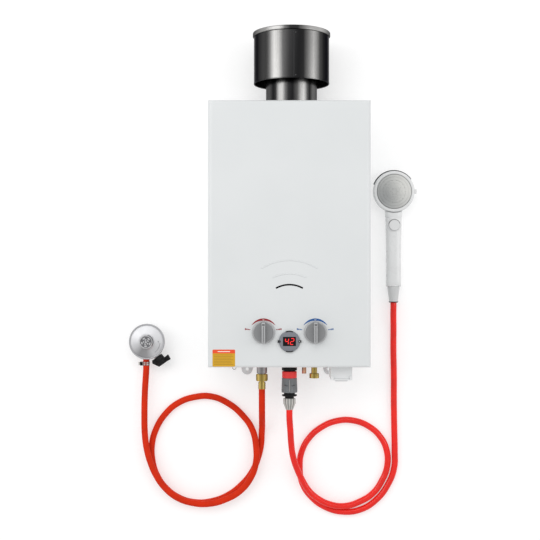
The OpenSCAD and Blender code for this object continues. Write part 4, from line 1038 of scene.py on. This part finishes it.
def handset_skin(bm):
    """Handset shell: a round head, a neck up to the ring's seat, a grip with a seam, and a collar for the button."""
    def head_edge(x, r):
        return HEAD_Y - math.sqrt(r * r - x * x)

    end = slice_of(*GRIP_SLICES[0][1:])
    rows = []
    for share, round_share, middle in END_ROWS:
        rows.append([(x * share, middle + math.sqrt(END_R ** 2 - (x * round_share) ** 2), z * share) for x, z in end])
    for y, w, h in GRIP_SLICES[1:]:
        rows.append([(x, y, z) for x, z in slice_of(w, h)])
    last = slice_of(*GRIP_SLICES[-1][1:])
    rows.append([(x, head_edge(x, SEAT_R), z) for x, z in last])
    for r in (SEAT_R, NECK_R):
        rows.append([(x, head_edge(x, r), min(z, SEAT_Z - GRIP_Z)) for x, z in last])
    made = [[bm.verts.new(((HEAD_X + x) * MM, y * MM, (GRIP_Z + z) * MM)) for x, y, z in row] for row in rows]
    bm.faces.new(made[0])
    bm.faces.new(made[-1])
    skin(bm, made)
    # Below the ring's seat two rows fall together
    bmesh.ops.remove_doubles(bm, verts=bm.verts[:], dist=1e-6)
    bmesh.ops.recalc_face_normals(bm, faces=bm.faces[:])
    turned(bm, [(0, 2), (20, 2), (26, 2.3), (31, 3.2), (35, 4.8), (38.5, 6.9), (41.5, 9.5), (43.7, 12.5), (45.1, 15.8),
                (45.8, 19.5), (46, 23), (45.8, 24), (38.5, 24), (38.5, 28), (0, 28)], at(HEAD_X, HEAD_Y, 0), 96)
    turned(bm, [(14.6, 24), (14.6, 33.3), (14.4, 33.8), (13.9, 34), (12.5, 34), (12.12, 33.6), (12.12, 28),
                (12.12, 24), (14.6, 24)], at(HEAD_X, BUTTON_Y, 0), 64)


def handset_trim():
    """The shell, rings on the spray face, painted shadow behind it, lines round the button and a ring at the hose."""
    def rings(bm):
        for r in (6, 12.5, 19, 25.5, 32):
            turned(bm, [(r - 0.7, FACE_Z - 0.1), (r - 0.3, FACE_Z + 0.25), (r + 0.3, FACE_Z + 0.25),
                        (r + 0.7, FACE_Z - 0.1), (r - 0.7, FACE_Z - 0.1)], at(HEAD_X, HEAD_Y, 0), 64)

    # A dark arc on the shell behind the ring's upper rim: painted shadow
    def head_shadow_arc(bm):
        sector(bm, HEAD_X, HEAD_Y, 45.4, 48.2, 36, 160, 21.2, 2.6)

    # The upper half of the line round the button is dark: painted shadow
    def button_shadow_line(bm):
        sector(bm, HEAD_X, BUTTON_Y, BUTTON_R, 13.2, 10, 170, FACE_Z - 0.1, 0.22)

    def button_rim(bm):
        sector(bm, HEAD_X, BUTTON_Y, BUTTON_R, 12.7, 170, 370, FACE_Z - 0.1, 0.2)

    def hose_ring(bm):
        turned(bm, [(7.1, 0), (9.6, 0), (10.4, 0.5), (10.6, 1.6), (10.4, 2.3), (7.1, 2.3), (7.1, 0)],
               at(HEAD_X, HOSE_RING_Y, GRIP_Z, ALONG_Y), 48)

    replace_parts(piece_of("handset_skin", "handset_white", HEATER, handset_skin), "handset_shell")
    piece_of("face_rings", "disc_grey", HEATER, rings)
    piece_of("head_painted_shadow", "painted_shade_grey", HEATER, head_shadow_arc)
    piece_of("button_shadow_line", "painted_shade_grey", HEATER, button_shadow_line)
    piece_of("button_rim", "knob_bar", HEATER, button_rim)
    return piece_of("hose_ring", "black_plastic", HEATER, hose_ring)


hose_ring = handset_trim()

# ---------------------------------------------------------------- stage and lights
FLOOR_HALF, FLOOR_DROP = 6, 0.0006
LAMP_AIM = (-0.04, -0.08, 0.05)


def stage():
    """A plain pale floor that glows a little, so that its shadows stay weak."""
    bm = bmesh.new()
    bmesh.ops.create_grid(bm, x_segments=1, y_segments=1, size=FLOOR_HALF)
    bmesh.ops.translate(bm, verts=bm.verts[:], vec=(0, 0, -FLOOR_DROP))
    data = bpy.data.meshes.new("floor")
    bm.to_mesh(data)
    bm.free()
    floor = bpy.data.objects.new("floor", data)
    bpy.context.scene.collection.objects.link(floor)
    look = Look("pale_floor", Roughness=0.9, Emission_Color=rgb(1, 1, 1), Emission_Strength=0.45)
    look.colour(look.mix(0.3 * look.noise(0.5, 2), rgb(0.60, 0.60, 0.60), rgb(0.58, 0.58, 0.58)))
    data.materials.append(look.material)


def softbox(name, place, size, power):
    """A rectangular lamp aimed at the heater, its size in metres and its power in watts."""
    data = bpy.data.lights.new(name, "AREA")
    data.shape = "RECTANGLE"
    data.size, data.size_y = size
    data.energy = power
    lamp = bpy.data.objects.new(name, data)
    lamp.location = place
    lamp.rotation_euler = (Vector(LAMP_AIM) - Vector(place)).to_track_quat("-Z", "Y").to_euler()
    bpy.context.scene.collection.objects.link(lamp)


def sky(level):
    """Even white light from all sides."""
    world = bpy.data.worlds.new("studio")
    bpy.context.scene.world = world
    world.use_nodes = True
    back = world.node_tree.nodes["Background"]
    back.inputs["Color"].default_value = rgb(1, 1, 1)
    back.inputs["Strength"].default_value = level


stage()
softbox("left_box", (-2.2, 0.6, 2.0), (1.2, 2.6), 20)
softbox("right_box", (2.2, 0.2, 2.0), (1.0, 2.6), 15)
softbox("top_box", (-0.3, 1.4, 2.6), (2.4, 1.2), 16)
sky(0.70)
